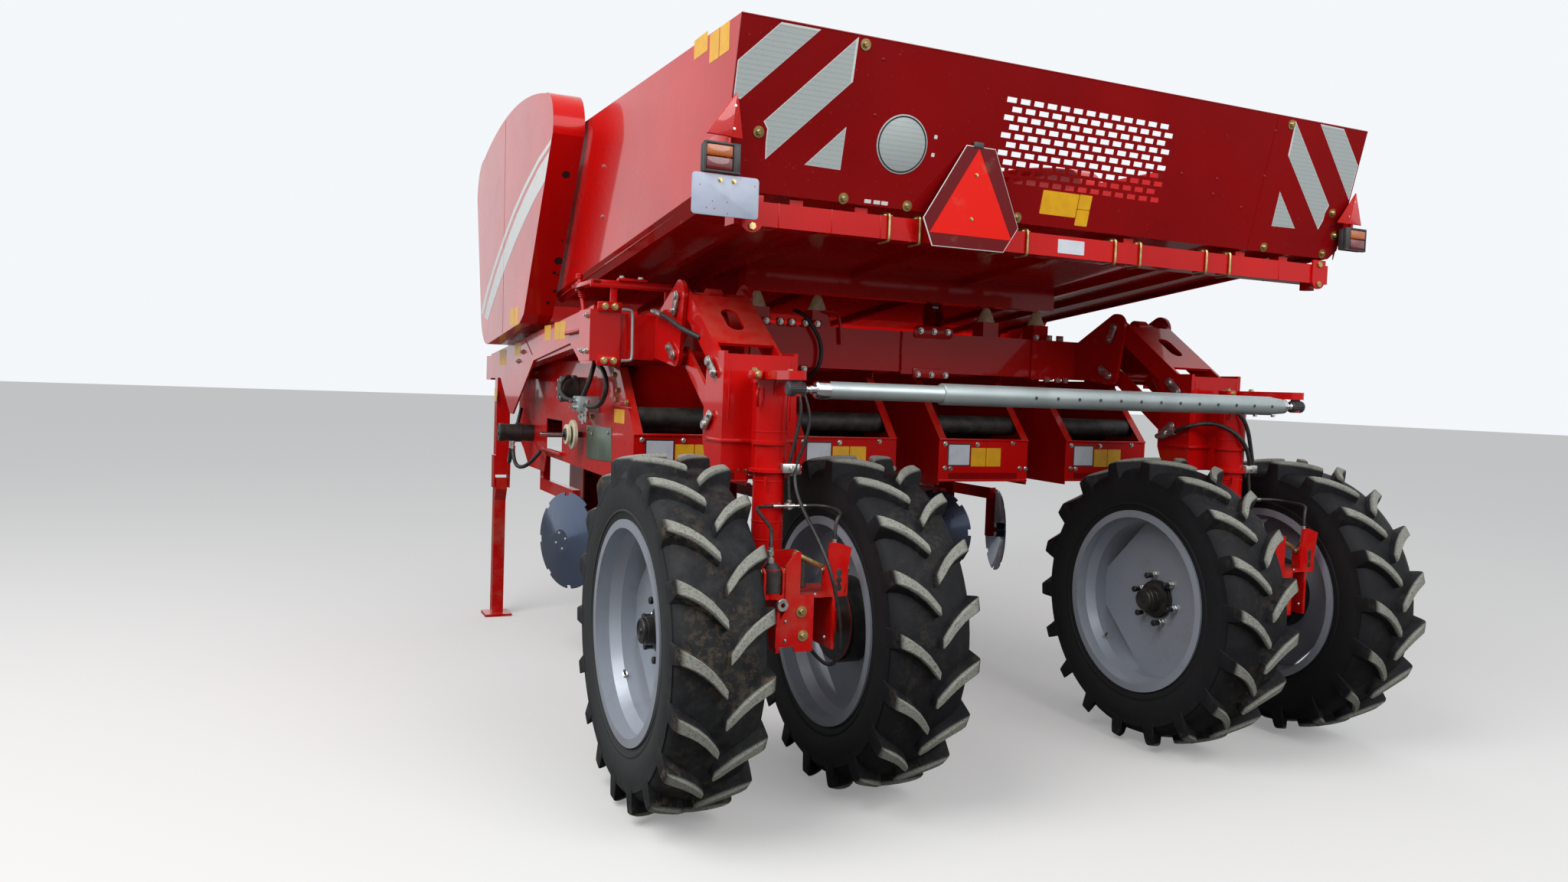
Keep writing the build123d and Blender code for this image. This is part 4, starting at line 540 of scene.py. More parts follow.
def shrunk(outline, middle, share):
    """The outline drawn smaller around a point."""
    x, y = middle
    return [(x + (a - x) * share, y + (b - y) * share) for a, b in outline]


def circle(count, radius, first=0.0, level=AHEAD):
    """Offsets spaced evenly on an upright circle, the first one turned by a share of a step."""
    for index in range(count):
        angle = math.tau * (index + first) / count
        yield (level * math.cos(angle) + UP * math.sin(angle)) * radius


# Wheels

# Each wheel's place across the machine and the side it looks to
WHEELS = (
    ("left_outer", -1.5, -1), ("left_inner", -0.75, 1), ("right_inner", 0.75, -1), ("right_outer", 1.5, 1))
STUD_CIRCLE = 0.1025
VALVE_RADIUS = 0.335
LUG_COUNT = 18
LUG_BEVEL = 0.003
# Depth and widening of a lug's steep upper flank
LUG_FLANK = 0.02
LUG_FLARE = 0.0035
LUG_WIDENING = 1.2
# Radius at which distances round the tyre are measured
TREAD_RADIUS = 0.6
# Half of the tyre's outer section, from the crown to the bead: (radius, across)
TYRE_SECTION = (
    (0.572, 0.0), (0.571, 0.05), (0.567, 0.1), (0.557, 0.13), (0.542, 0.146), (0.526, 0.153),
    (0.5285, 0.1567), (0.5255, 0.1567), (0.524, 0.1565), (0.5, 0.1592), (0.47, 0.1595), (0.44, 0.156),
    (0.421, 0.151), (0.419, 0.1525), (0.413, 0.1525), (0.411, 0.1485), (0.398, 0.145), (0.388, 0.140),
    (0.3665, 0.137))
# The tyre's inner wall, from bead to bead: (across, radius)
TYRE_INSIDE = (
    (0.119, 0.3665), (0.125, 0.53), (0.11, 0.548), (-0.11, 0.548), (-0.125, 0.53), (-0.119, 0.3665))
# Lug stations from the middle outwards: across, round the tyre, half widths and radii of top and base
LUG_STATIONS = (
    (0.005, -0.068, 0.012, 0.020, 0.6120, 0.562),
    (0.022, -0.048, 0.0145, 0.025, 0.6130, 0.562),
    (0.050, -0.016, 0.0150, 0.027, 0.6130, 0.561),
    (0.084, 0.013, 0.0155, 0.029, 0.6120, 0.558),
    (0.112, 0.031, 0.0165, 0.031, 0.6100, 0.552),
    (0.134, 0.043, 0.0180, 0.033, 0.6070, 0.540),
    (0.150, 0.051, 0.0195, 0.034, 0.6020, 0.524),
    (0.1575, 0.055, 0.0205, 0.034, 0.5950, 0.512),
    (0.1595, 0.058, 0.0190, 0.030, 0.5740, 0.506),
)


def lug_section(station, hand, turn):
    across, round_tyre, top_half, base_half, top, base = station
    flank = (
        (base, base_half), (top - LUG_FLANK, top_half + LUG_FLARE),
        (top - LUG_BEVEL, top_half), (top, top_half - LUG_BEVEL))
    corners = [(radius, -off) for radius, off in flank] + list(reversed(flank))
    points = []
    for radius, off in corners:
        angle = (round_tyre + off * LUG_WIDENING) / TREAD_RADIUS - turn
        points.append((hand * across, radius * math.sin(angle), AXLE_HEIGHT + radius * math.cos(angle)))
    return points


def tyre(name, wheel_x):
    part = Part(f"tyre_tread_{name}", tyre_rubber, f"wheel_{name}", wheel_x, crease=38)
    outside = [(across, radius) for radius, across in TYRE_SECTION]
    outside = [(-across, radius) for across, radius in reversed(outside[1:])] + outside
    part.ring((0, 0, AXLE_HEIGHT), RIGHT, (*outside, *TYRE_INSIDE), 72)
    for index in range(LUG_COUNT):
        for hand, shift in ((1, 0.0), (-1, 0.5)):
            turn = (index + shift) * math.tau / LUG_COUNT
            part.loft([lug_section(station, hand, turn) for station in LUG_STATIONS])
    part.done(f"tyre_{name}")


def wheel(name, wheel_x, outward):
    """Tyre with its lugs, wheel nuts, stud caps, hub cap with its collar, and valve."""
    tyre(name, wheel_x)
    out = RIGHT * outward
    hub = Vector((0, 0, AXLE_HEIGHT))
    nuts = Part(f"wheel_nuts_{name}", bright_zinc, f"wheel_{name}", wheel_x)
    caps = Part(f"stud_caps_{name}", black_paint, f"wheel_{name}", wheel_x)
    for spoke in circle(6, STUD_CIRCLE, 0.25):
        foot = hub + spoke + out * 0.0005
        nuts.disc(foot, out, 0.0185, 0.004, 16)
        nuts.turned(foot + out * 0.004, out, ((0, 0.0165), (0.013, 0.0165), (0.016, 0.014)), 6)
        caps.turned(foot + out * 0.018, out, (
            (0, 0.0105), (0.022, 0.0105), (0.023, 0.013), (0.031, 0.013), (0.033, 0.011)), 14)
    caps.ring(hub + out * 0.022, out, (
        (0, 0.049), (0, 0.078), (0.007, 0.078), (0.012, 0.066), (0.012, 0.056), (0.02, 0.0535),
        (0.02, 0.049)), 28)
    caps.turned(hub + out * 0.05, out, (
        (0, 0.05), (0.022, 0.0485), (0.024, 0.0455), (0.036, 0.0445), (0.04, 0.041), (0.04, 0.034),
        (0.0375, 0.033), (0.0375, 0.012), (0.042, 0.01)), 32)
    inwards = AHEAD * -0.76 + UP * 0.65
    valve = hub - inwards * VALVE_RADIUS + out * 0.06
    stem = inwards + out * 0.35
    nuts.disc(valve, stem, 0.011, 0.006, 6)
    caps.rod(valve, valve + stem * 0.035, 0.0045, 10, 0.001)
    done_all(nuts, caps)


for wheel_name, wheel_x, outward in WHEELS:
    wheel(wheel_name, wheel_x, outward)


# Rear panel of the tipping hopper: its own coordinates run across the machine and up the panel

PANEL_FOOT = Vector((0, -0.222, 2.115))
PANEL_UP = Vector((0, -0.128, 0.527)).normalized()
PANEL_OUT = RIGHT.cross(PANEL_UP)
PANEL_FACE = 0.0053
FILM = 0.0005
STRIPES = (
    ((1.008, 0.533), (1.013, 0.396), (1.289, 0.119), (1.306, 0.16), (1.305, 0.19), (1.318, 0.223)),
    ((1.150, 0.538), (1.427, 0.257), (1.427, 0.402), (1.290, 0.536)),
    ((1.017, 0.250), (1.018, 0.109), (1.153, 0.111)),
    ((-1.014, 0.536), (-1.314, 0.227), (-1.298, 0.205), (-1.298, 0.165), (-1.292, 0.109),
     (-1.013, 0.394)),
    ((-1.295, 0.536), (-1.428, 0.4), (-1.428, 0.288), (-1.404, 0.284), (-1.154, 0.536)),
    ((-1.013, 0.248), (-1.148, 0.108), (-1.013, 0.106)))
# Width, height and middle of the blank labels and of the bright marks
PANEL_LABELS = ((0.168, 0.087, -0.08, 0.0875), (0.059, 0.054, 0.0365, 0.105), (0.059, 0.06, 0.0365, 0.046))
BRIGHT_MARKS = (
    (0.026, 0.013, -0.890, 0.014), (0.026, 0.013, -0.854, 0.014), (0.026, 0.013, -0.823, 0.014),
    (0.013, 0.013, -0.661, 0.259), (0.013, 0.013, -0.661, 0.198))
PANEL_BOLTS = (
    (-0.986, 0.014), (-0.732, 0.014), (-0.260, 0.019), (1.001, 0.019), (1.349, 0.021), (1.392, 0.102),
    (1.347, 0.194), (0.991, 0.515), (-0.986, 0.516), (-1.327, 0.192))
PANEL_RIVETS = (
    (0.474, 0.262), (0.661, 0.262), (0.659, 0.202), (0.824, 0.166), (-0.912, 0.48), (-0.912, 0.3),
    (0.912, 0.48), (0.912, 0.3))


def panel(across, up, out=0.0):
    """A point on the panel's outer face."""
    return PANEL_FOOT + RIGHT * across + PANEL_UP * up + PANEL_OUT * (PANEL_FACE + out)


def panel_film(part, outline, out=0.0, thick=FILM):
    part.slab(outline, panel(0, 0, out), RIGHT, PANEL_UP, thick)


def panel_stripes():
    """Pale warning stripes at both ends, each with a thin white edge."""
    bands = Part("warning_stripes", pale_sheeting, "hopper")
    edges = Part("warning_stripe_edges", white_sheeting, "hopper")
    for outline in STRIPES:
        middle = [sum(places) / len(outline) for places in zip(*outline)]
        panel_film(edges, outline)
        panel_film(bands, shrunk(outline, middle, 0.955), FILM)
    done_all(bands, edges)


def panel_signs():
    """Blank round sign in its ring, blank labels and bright marks."""
    sign = Part("round_sign", pale_sheeting, "hopper")
    ring = Part("round_sign_ring", plain_black, "hopper")
    middle = panel(-0.79, 0.218)
    sign.turned(middle, PANEL_OUT, ((0, 0.1), (0.0016, 0.1), (0.0022, 0.099)), 48)
    ring.ring(middle, PANEL_OUT, ((0.002, 0.0905), (0.002, 0.0955), (0.0026, 0.0955), (0.0026, 0.0905)), 48)
    labels = Part("panel_labels", plain_yellow, "hopper")
    for width, height, across, up in PANEL_LABELS:
        panel_film(labels, rounded(width, height, 0.004, across, up))
    marks = Part("panel_bright_marks", white_sheeting, "hopper")
    for width, height, across, up in BRIGHT_MARKS:
        panel_film(marks, rounded(width, height, 0.002, across, up))
    done_all(sign, ring, labels, marks)


def panel_fasteners():
    """Bolts on large washers, rivets, the seam right of the slots and the lip along the top."""
    bolts = Part("panel_bolts", gold_zinc, "hopper")
    for across, up in PANEL_BOLTS:
        bolts.disc(panel(across, up), PANEL_OUT, 0.019, 0.003, 18)
        bolts.bolt(panel(across, up, 0.003), PANEL_OUT, 0.01)
    rivets = Part("panel_rivets", dark_red_paint, "hopper")
    for across, up in PANEL_RIVETS:
        rivets.turned(panel(across, up), PANEL_OUT, ((0, 0.006), (0.0015, 0.005), (0.003, 0.002)), 12)
    seam = ((0.9108, 0.002), (0.9132, 0.002), (0.9132, 0.538), (0.9108, 0.538))
    panel_film(rivets, seam, 0.0, 0.0012)
    rivets.block((-1.433, -0.3565, 2.6385), (1.433, -0.347, 2.644), 0.002)
    done_all(bolts, rivets)


panel_stripes()
panel_signs()
panel_fasteners()


# Lamps, reflectors, number plate and warning triangle behind the hopper's foot

HOPPER_SIDE_X = 1.433
STAY_X = HOPPER_SIDE_X + 0.0003
LAMP_INNER, LAMP_OUTER = 1.4, 1.524
LAMP_WIDE_RIM, LAMP_THIN_RIM = 0.026, 0.0065
RIM_BACK, RIM_FRONT = -0.309, -0.29
LENS_BACK, LENS_FRONT = -0.3085, -0.291
STAY_BACK = -0.303
STAY_THICK = 0.012
PLATE_BACK = -0.3
SIGN_X = -0.48
SIGN_BACK = -0.296
# Backing, bright face and bolts of the reflector on each side; the bright face is painted backlight
REFLECTORS = {
    -1: (((-1.52, 2.266), (-1.395, 2.263), (-1.413, 2.385), (-1.422, 2.406)),
         ((-1.518, 2.268), (-1.433, 2.266), (-1.42, 2.402)), ((-1.4235, 2.364), (-1.426, 2.291))),
    # On the right the bright face covers only the outer part; the inner part, left in the backing's red
    # paint, is painted shade
    1: (((1.345, 2.259), (1.490, 2.259), (1.446, 2.393)),
        ((1.418, 2.261), (1.488, 2.260), (1.446, 2.391)), ((1.441, 2.355), (1.41, 2.29))),
}
PLATE_SPECKS = (
    (-1.534, 2.105), (-1.49, 2.057), (-1.51, 2.035), (-1.483, 2.034), (-1.44, 2.058), (-1.437, 2.022),
    (-1.345, 2.118))
TRIANGLE_EDGE = (
    (-0.412, 2.353), (-0.535, 2.353), (-0.703, 2.082), (-0.663, 1.988), (-0.359, 1.989), (-0.298, 2.081))
TRIANGLE_FACE = ((-0.482, 2.345), (-0.675, 2.035), (-0.327, 2.035))


def lamp(housing, amber, red, hand):
    """Housing with a rim on all sides, and the amber lens over the red one."""
    inner, outer = hand * LAMP_INNER, hand * LAMP_OUTER
    housing.block((inner, -0.292, 2.15), (outer, -0.266, 2.242), 0.006)
    for near, far, low, high, edge in (
            (inner, inner + hand * LAMP_WIDE_RIM, 2.15, 2.243, 0.004),
            (outer, outer - hand * LAMP_THIN_RIM, 2.15, 2.243, 0.002),
            (inner, outer, 2.236, 2.245, 0.003), (inner, outer, 2.148, 2.155, 0.002)):
        housing.block((near, RIM_BACK, low), (far, RIM_FRONT, high), edge)
    near = inner + hand * LAMP_WIDE_RIM * 1.05
    far = outer - hand * LAMP_THIN_RIM * 1.08
    amber.block((near, LENS_BACK, 2.199), (far, LENS_FRONT, 2.2355), 0.004)
    red.block((near, LENS_BACK, 2.1555), (far, LENS_FRONT, 2.197), 0.004)
    housing.rod((hand * 1.462, -0.27, 2.2), (hand * 1.462, -0.25, 2.2), 0.02, 16)


def reflector(stays, faces, bolts, hand):
    """Reflector on its backing, with the stay that holds it to the hopper's wall."""
    backing, bright, marks = REFLECTORS[hand]
    stays.back_slab(backing, STAY_BACK, 0.003, 0.001)
    # Bright red face: painted glow of sky shining through the plastic; bare backing beside it: painted shade.
    faces.back_slab(bright, STAY_BACK - 0.003, 0.002, 0.0006)
    for across, up in marks:
        bolts.turned((across, STAY_BACK - 0.005, up), BACK, (
            (0, 0.0045), (0.0005, 0.0045), (0.0008, 0.002)), 10)
    wall = hand * STAY_X
    stays.block((wall, STAY_BACK, 2.175), (wall + hand * STAY_THICK, -0.1, 2.29), 0.002)
    for up in (2.2, 2.262):
        bolts.bolt((wall + hand * STAY_THICK, -0.13, up), RIGHT * hand, 0.008)


def number_plate(stays, gold):
    """Blank plate at the left lamp, with red paint specks on it."""
    stays.block((-STAY_X - STAY_THICK, -0.296, 2.104), (-STAY_X, -0.1, 2.175), 0.002)
    plate = Part("number_plate", shaded_plate_white, "hopper")
    plate.back_slab(rounded(0.23, 0.132, 0.012, -1.445, 2.078), PLATE_BACK + 0.0035, 0.0035, 0.001)
    for across in (-1.465, -1.418):
        gold.bolt((across, PLATE_BACK, 2.126), BACK, 0.007)
    specks = Part("plate_specks", red_paint, "hopper")
    for across, up in PLATE_SPECKS:
        specks.disc((across, PLATE_BACK, up), BACK, 0.0022, 0.0003, 8)
    done_all(plate, specks)


def warning_triangle(housing, gold):
    """Bright triangle on a dark field with a pale edge, on two posts."""
    edge = Part("triangle_edge", white_sheeting, "hopper")
    field = Part("triangle_back", dark_red_sheeting, "hopper")
    face = Part("triangle_face", bright_red_sheeting, "hopper")
    edge.back_slab(TRIANGLE_EDGE, SIGN_BACK + 0.004, 0.0034, 0.0008)
    field.back_slab(shrunk(TRIANGLE_EDGE, (-0.49, 2.17), 0.985), SIGN_BACK + 0.0008, 0.0006)
    face.back_slab(TRIANGLE_FACE, SIGN_BACK + 0.0003, 0.0005)
    for across, up in ((-0.489, 2.252), (-0.503, 2.095)):
        gold.bolt((across, SIGN_BACK, up), BACK, 0.006)
    housing.block((-0.506, -0.2985, 2.348), (-0.464, -0.289, 2.368), 0.002)
    for across in (SIGN_X - 0.1, SIGN_X + 0.1):
        housing.rod((across, -0.292, 2.044), (across, -0.236, 2.044), 0.01)
    done_all(edge, field, face)


def lamps():
    """Lamp clusters and reflectors at both sides, plate and triangle, on the hopper."""
    housing = Part("lamp_housings", dark_plastic, "hopper")
    amber = Part("amber_lenses", amber_lens, "hopper")
    red = Part("red_lenses", red_lens, "hopper")
    faces = Part("backlit_corner_reflectors", backlit_reflector_red, "hopper")
    stays = Part("lamp_stays", red_paint, "hopper")
    bolts = Part("lamp_bolts", bright_zinc, "hopper")
    gold = Part("plate_bolts", gold_zinc, "hopper")
    for side, hand in SIDES:
        lamp(housing, amber, red, hand)
        reflector(stays, faces, bolts, hand)
    number_plate(stays, gold)
    warning_triangle(housing, gold)
    housing.done("lamps_and_signs")
    done_all(amber, red, faces, stays, bolts, gold)


lamps()


# Bar behind the hopper's foot

BAR_BACK = -0.235
STRAPS_ACROSS = (-0.806, -0.681, -0.34, -0.214, 0.205, 0.331, 0.678, 0.807)
# A strap's run round the bar: (ahead, up)
STRAP_RUN = (
    (-0.18, 2.098), (-0.236, 2.092), (-0.2415, 2.086), (-0.2415, 2.046), (-0.2415, 2.002),
    (-0.236, 1.9965), (-0.17, 1.9965))


def rear_bar():
    """U-bolts round the bar beside each rib, joints, end tabs' bolts, hook and a blank label."""
    gold = Part("rear_bar_nuts", gold_zinc, "hopper")
    for across in STRAPS_ACROSS:
        gold.block((across - 0.018, -0.232, 2.0845), (across + 0.018, -0.16, 2.0895), 0.0015)
    runs = [[(across, *point) for point in STRAP_RUN] for across in STRAPS_ACROSS]
    bent("rear_bar_straps", gold_zinc, "hopper", 0.005, *runs)
    red = Part("rear_bar_fittings", red_paint, "hopper")
    for across in (-1.228, -1.029, -0.837, 1.095):
        red.block((across - 0.002, -0.2364, 2.003), (across + 0.002, -0.154, 2.0855), 0.0008)
    red.block((1.309, -0.2, 1.977), (1.355, -0.16, 2.006), 0.003)
    for side, hand in SIDES:
        for up in (2.085, 2.0):
            gold.bolt((hand * 1.326, BAR_BACK - 0.0005, up), BACK, 0.016)
    label = Part("rear_bar_label", plain_white, "hopper")
    label.back_slab(rounded(0.125, 0.052, 0.003, -0.005, 2.045), BAR_BACK, 0.0006)
    done_all(gold, red, label)


rear_bar()


# Side shields and labels on the machine's sides

SIDE_BEAM_X = 1.5
SHIELD_X = 1.6
LABEL_THICK = 0.0006
# High and low edge of the two bands on a shield
SHIELD_BANDS = (
    (((1.502, 2.577), (1.765, 2.536), (2.088, 2.452), (2.353, 2.362), (2.59, 2.26), (2.86, 2.13),
      (3.1, 2.0), (3.285, 1.865)),
     ((1.519, 2.552), (1.77, 2.508), (2.075, 2.424), (2.335, 2.333), (2.575, 2.228), (2.84, 2.095),
      (3.06, 1.965), (3.2, 1.847))),
    (((1.536, 2.527), (1.775, 2.482), (2.062, 2.396), (2.32, 2.303), (2.56, 2.196), (2.82, 2.062),
      (3.03, 1.935), (3.165, 1.834)),
     ((1.622, 2.4), (1.82, 2.352), (2.05, 2.275), (2.29, 2.186), (2.52, 2.085), (2.76, 1.972),
      (2.95, 1.868), (3.05, 1.806))))
# Holes in the shield's rear wall, drawn as discs of painted shade: inwards from its outer face, along the
# wall, radius
SHIELD_HOLES = (
    (0.093, 0.195, 0.019), (0.13, 0.54, 0.006), (0.128, 0.652, 0.021), (0.118, 0.72, 0.01),
    (0.137, 0.73, 0.006), (0.136, 0.824, 0.009), (0.112, 0.894, 0.01))
# Blank labels: the wall they are on, near and far edge ahead, low and high edge
FRAME_LABELS = (
    (SIDE_BEAM_X, 1.854, 1.991, 1.669, 1.744), (SIDE_BEAM_X, 1.553, 1.66, 1.668, 1.752),
    (SIDE_BEAM_X, 1.669, 1.776, 1.668, 1.752), (SIDE_BEAM_X, 2.569, 2.739, 1.6, 1.673),
    (SIDE_BEAM_X, 2.985, 3.19, 1.549, 1.643), (SHIELD_X, 2.16, 2.265, 1.751, 1.843),
    (SHIELD_X, 2.272, 2.377, 1.751, 1.843), (1.51, 3.207, 3.273, 1.33, 1.41))
HOPPER_LABELS = (
    (HOPPER_SIDE_X, -0.058, 0.073, 2.6, 2.666), (HOPPER_SIDE_X, -0.257, -0.172, 2.55, 2.645),
    (HOPPER_SIDE_X, -0.165, -0.08, 2.55, 2.645))


def side_labels(name, body, labels, hand):
    part = Part(name, plain_yellow, body)
    for wall, near, far, low, high in labels:
        part.side_slab(rounded_between(near, far, low, high), hand * wall, hand, LABEL_THICK)
    part.done()


def shield_bands(side, hand):
    """Two bands along the shield's slope, each in flat pieces between its edges."""
    bands = Part(f"shield_bands_{side}", white_sheeting, "frame")
    for high, low in SHIELD_BANDS:
        for corners in zip(high, high[1:], low[1:], low):
            bands.side_slab(corners, hand * SHIELD_X, hand, LABEL_THICK)
    bands.done()


def shield_hole_shade(side, hand):
    """Black discs of painted shade for the holes in the rear wall, measured from its top along the slope down
    and ahead.
    """
    holes = Part(f"shield_hole_shade_{side}", plain_black, "frame")
    wall = Vector((0, 0.545, -0.8)).normalized()
    out = Vector((0, -0.8, -0.545)).normalized()
    for inwards, along, radius in SHIELD_HOLES:
        foot = Vector((hand * (SHIELD_X - inwards), 1.485, 2.6)) + wall * along
        # A thin black disc on the wall: painted shade in place of the hole.
        holes.disc(foot, out, radius, 0.0006, 20)
    holes.done()


def side_trim(side, hand):
    """Bands, seams, painted shade of the holes, blank labels and wall bolts of one side."""
    shield_bands(side, hand)
    shield_hole_shade(side, hand)
    side_labels(f"side_labels_{side}", "frame", FRAME_LABELS, hand)
    side_labels(f"hopper_labels_{side}", "hopper", HOPPER_LABELS, hand)
    seams = Part(f"side_seams_{side}", dark_red_paint, "frame")
    shield_seam = ((2.632, 2.888), (2.637, 2.888), (2.583, 1.72), (2.578, 1.72))
    beam_seam = ((2.443, 1.684), (2.449, 1.684), (2.271, 1.601), (2.265, 1.601))
    seams.side_slab(shield_seam, hand * SHIELD_X, hand, 0.0008)
    seams.side_slab(beam_seam, hand * SIDE_BEAM_X, hand, 0.003, 0.001)
    bolts = Part(f"hopper_wall_bolts_{side}", bright_zinc, "hopper")
    for ahead, up in ((1.2, 2.2), (1.2, 2.42), (0.02, 2.12)):
        bolts.bolt((hand * HOPPER_SIDE_X, ahead, up), RIGHT * hand, 0.008)
    done_all(seams, bolts)


for side, hand in SIDES:
    side_trim(side, hand)


# Main beam: bolted sleeves, centre plates, buffers and the left end's handle and latch

BEAM_BACK = 0.89
SLEEVE_X = 1.56
SLEEVE_TABS = 0.879
BEAM_STUDS = (
    (SIDE_BEAM_X, 1.233, 1.612), (SIDE_BEAM_X, 1.19, 1.612), (SIDE_BEAM_X, 1.14, 1.758),
    (SIDE_BEAM_X, 1.19, 1.7), (SIDE_BEAM_X, 2.5, 1.62), (SIDE_BEAM_X, 2.62, 1.57),
    (SLEEVE_X, 0.922, 1.746), (SLEEVE_X, 0.99, 1.601), (SLEEVE_X, 0.925, 1.598))
UPPER_PLATE = (
    (0.012, 1.733), (0.206, 1.736), (0.218, 1.748), (0.218, 1.782), (0.204, 1.794), (0.018, 1.79),
    (0.003, 1.779), (0.002, 1.743))
LOWER_PLATE = ((0.005, 1.545), (0.205, 1.545), (0.205, 1.59), (0.005, 1.59))
# Rows of small tabs: half width, low and high edge, their bolts' height, places across
TAB_ROWS = (
    (0.02, 1.75, 1.786, 1.7695, (-0.567, -0.692, -0.761, -0.636, -0.508, 0.717, 0.798, 0.868)),
    (0.018, 1.548, 1.58, 1.562, (-0.567, 0.798, 0.866, 0.914)))
TAB_BACK, TAB_FRONT = 0.888, 0.9
LATCH_X = -1.51
# Bars of the latch at the left end: two corners and the rounding
LATCH_BARS = (
    ((-1.547, 0.94, 1.868), (-1.19, 0.952, 1.9), 0.002),
    ((-1.43, 0.932, 1.9), (-1.302, 0.966, 1.912), 0.002),
    ((-1.46, 0.944, 1.76), (-1.43, 0.956, 1.87), 0.002),
    ((-1.22, 0.944, 1.75), (-1.19, 0.956, 1.87), 0.002),
    ((-1.54, 0.94, 1.88), (-1.5, 1.3, 1.9), 0.003),
    ((-1.525, 1.25, 1.872), (-1.495, 1.305, 1.91), 0.003))


def sleeve(gold, tabs, silver, hand):
    """Tabs, bolts, studs and weld ends of the sleeve at one end of the beam."""
    for up in (1.786, 1.561):
        for across in (1.458, 1.5):
            gold.bolt((hand * across, SLEEVE_TABS, up), BACK, 0.013)
        corner = (hand * 1.428, SLEEVE_TABS, up - 0.023)
        tabs.block(corner, (hand * 1.53, SLEEVE_TABS + 0.012, up + 0.019), 0.003)
    for wall, ahead, up in BEAM_STUDS:
        silver.stud((hand * wall, ahead, up), RIGHT * hand, 0.013)
    for up in (1.575, 1.755):
        tabs.disc((hand * 1.43, TAB_FRONT, up), UP, 0.005, 0.01, 8)


def beam_plates(tabs, silver):
    """Two centre plates and the rows of small tabs, with their bolts, and the seam between."""
    tabs.back_slab(UPPER_PLATE, BEAM_BACK, 0.008, 0.003)
    for across, up in ((0.038, 1.767), (0.112, 1.767), (0.189, 1.768)):
        silver.bolt((across, BEAM_BACK - 0.008, up), BACK, 0.013)
    tabs.back_slab(LOWER_PLATE, BEAM_BACK, 0.006, 0.003)
    for across in (0.032, 0.107, 0.186):
        silver.bolt((across, BEAM_BACK - 0.006, 1.561), BACK, 0.013)
    for half, low, high, bolt_up, places in TAB_ROWS:
        for across in places:
            tabs.block((across - half, TAB_BACK, low), (across + half, TAB_FRONT, high), 0.003)
            silver.bolt((across, TAB_BACK, bolt_up), BACK, 0.012)
    tabs.block((-0.06, BEAM_BACK - 0.0005, 1.575), (-0.054, 0.893, 1.756), 0.001)


def beam_pipes():
    """Hose and hook behind the beam, and the handle at its left end."""
    bent("beam_hose", hose_rubber, "frame", 0.009, (
        (-0.6, 0.95, 1.83), (-0.571, 0.88, 1.805), (-0.539, 0.87, 1.749), (-0.502, 0.87, 1.698),
        (-0.491, 0.87, 1.645), (-0.497, 0.87, 1.592), (-0.513, 0.88, 1.554), (-0.53, 0.95, 1.52)))
    bent("beam_hook", red_paint, "frame", 0.008, (
        (-0.46, 0.91, 1.83), (-0.441, 0.9, 1.832), (-0.405, 0.89, 1.82), (-0.394, 0.885, 1.789),
        (-0.386, 0.885, 1.682)))
    bent("beam_handle", galvanised, "frame", 0.007, (
        (-1.432, 0.86, 1.774), (-1.398, 0.86, 1.774), (-1.386, 0.86, 1.765), (-1.385, 0.86, 1.66),
        (-1.383, 0.86, 1.572), (-1.394, 0.86, 1.562), (-1.43, 0.86, 1.562)))


def buffers():
    """Cream rubber cones on the beam, which the hopper comes down on."""
    cones = Part("cream_buffers", cream_rubber, "frame")
    for across in (-0.775, -0.47, 0.47, 0.775):
        cones.turned((across, 0.975, 1.8335), UP, (
            (0, 0.043), (0.004, 0.0435), (0.03, 0.034), (0.058, 0.022), (0.0695, 0.0165),
            (0.0725, 0.012)), 24)
    cones.done()


def latch(tabs, silver):
    """Latch rod with its spring, and the bars that guide it."""
    bent("latch_rod", red_paint, "frame", 0.009, (
        (0, 1.28, 1.94), (0, 1.262, 1.89), (0, 1.19, 1.79), (0, 1.178, 1.722), (0, 1.21, 1.7),
        (0, 1.3, 1.694), (0, 1.5, 1.69)), across=LATCH_X)
    points_per_turn, turns = 5, 8
    top, foot = Vector((LATCH_X, 1.272, 1.915)), Vector((LATCH_X, 1.222, 1.84))
    coil = []
    for step in range(points_per_turn * turns + 1):
        angle = step * math.tau / points_per_turn
        middle = top.lerp(foot, step / (points_per_turn * turns))
        coil.append(middle + (RIGHT * math.cos(angle) + AHEAD * math.sin(angle)) * 0.015)
    bent("latch_spring", red_paint, "frame", 0.0035, coil)
    for corner, other, edge in LATCH_BARS:
        tabs.block(corner, other, edge)
    tabs.rod((LATCH_X, 1.278, 1.925), (LATCH_X, 1.278, 1.95), 0.016, 16, 0.003)
    for across in (-1.41, -1.327):
        silver.bolt((across, 0.95, 1.912), UP, 0.012)


def main_beam():
    """Bolts, tabs and studs of the beam; the small functions above add to these three pieces."""
    gold = Part("beam_bolts", gold_zinc, "frame")
    tabs = Part("beam_tabs", red_paint, "frame")
    silver = Part("beam_side_bolts", bright_zinc, "frame")
    for side, hand in SIDES:
        sleeve(gold, tabs, silver, hand)
    beam_plates(tabs, silver)
    beam_pipes()
    buffers()
    latch(tabs, silver)
    done_all(gold, tabs, silver)


main_beam()


# Lift linkage and brake brackets, drawn around each side's kingpin

CHEEK_FACE = 0.1562
KEEPER_THICK = 0.006
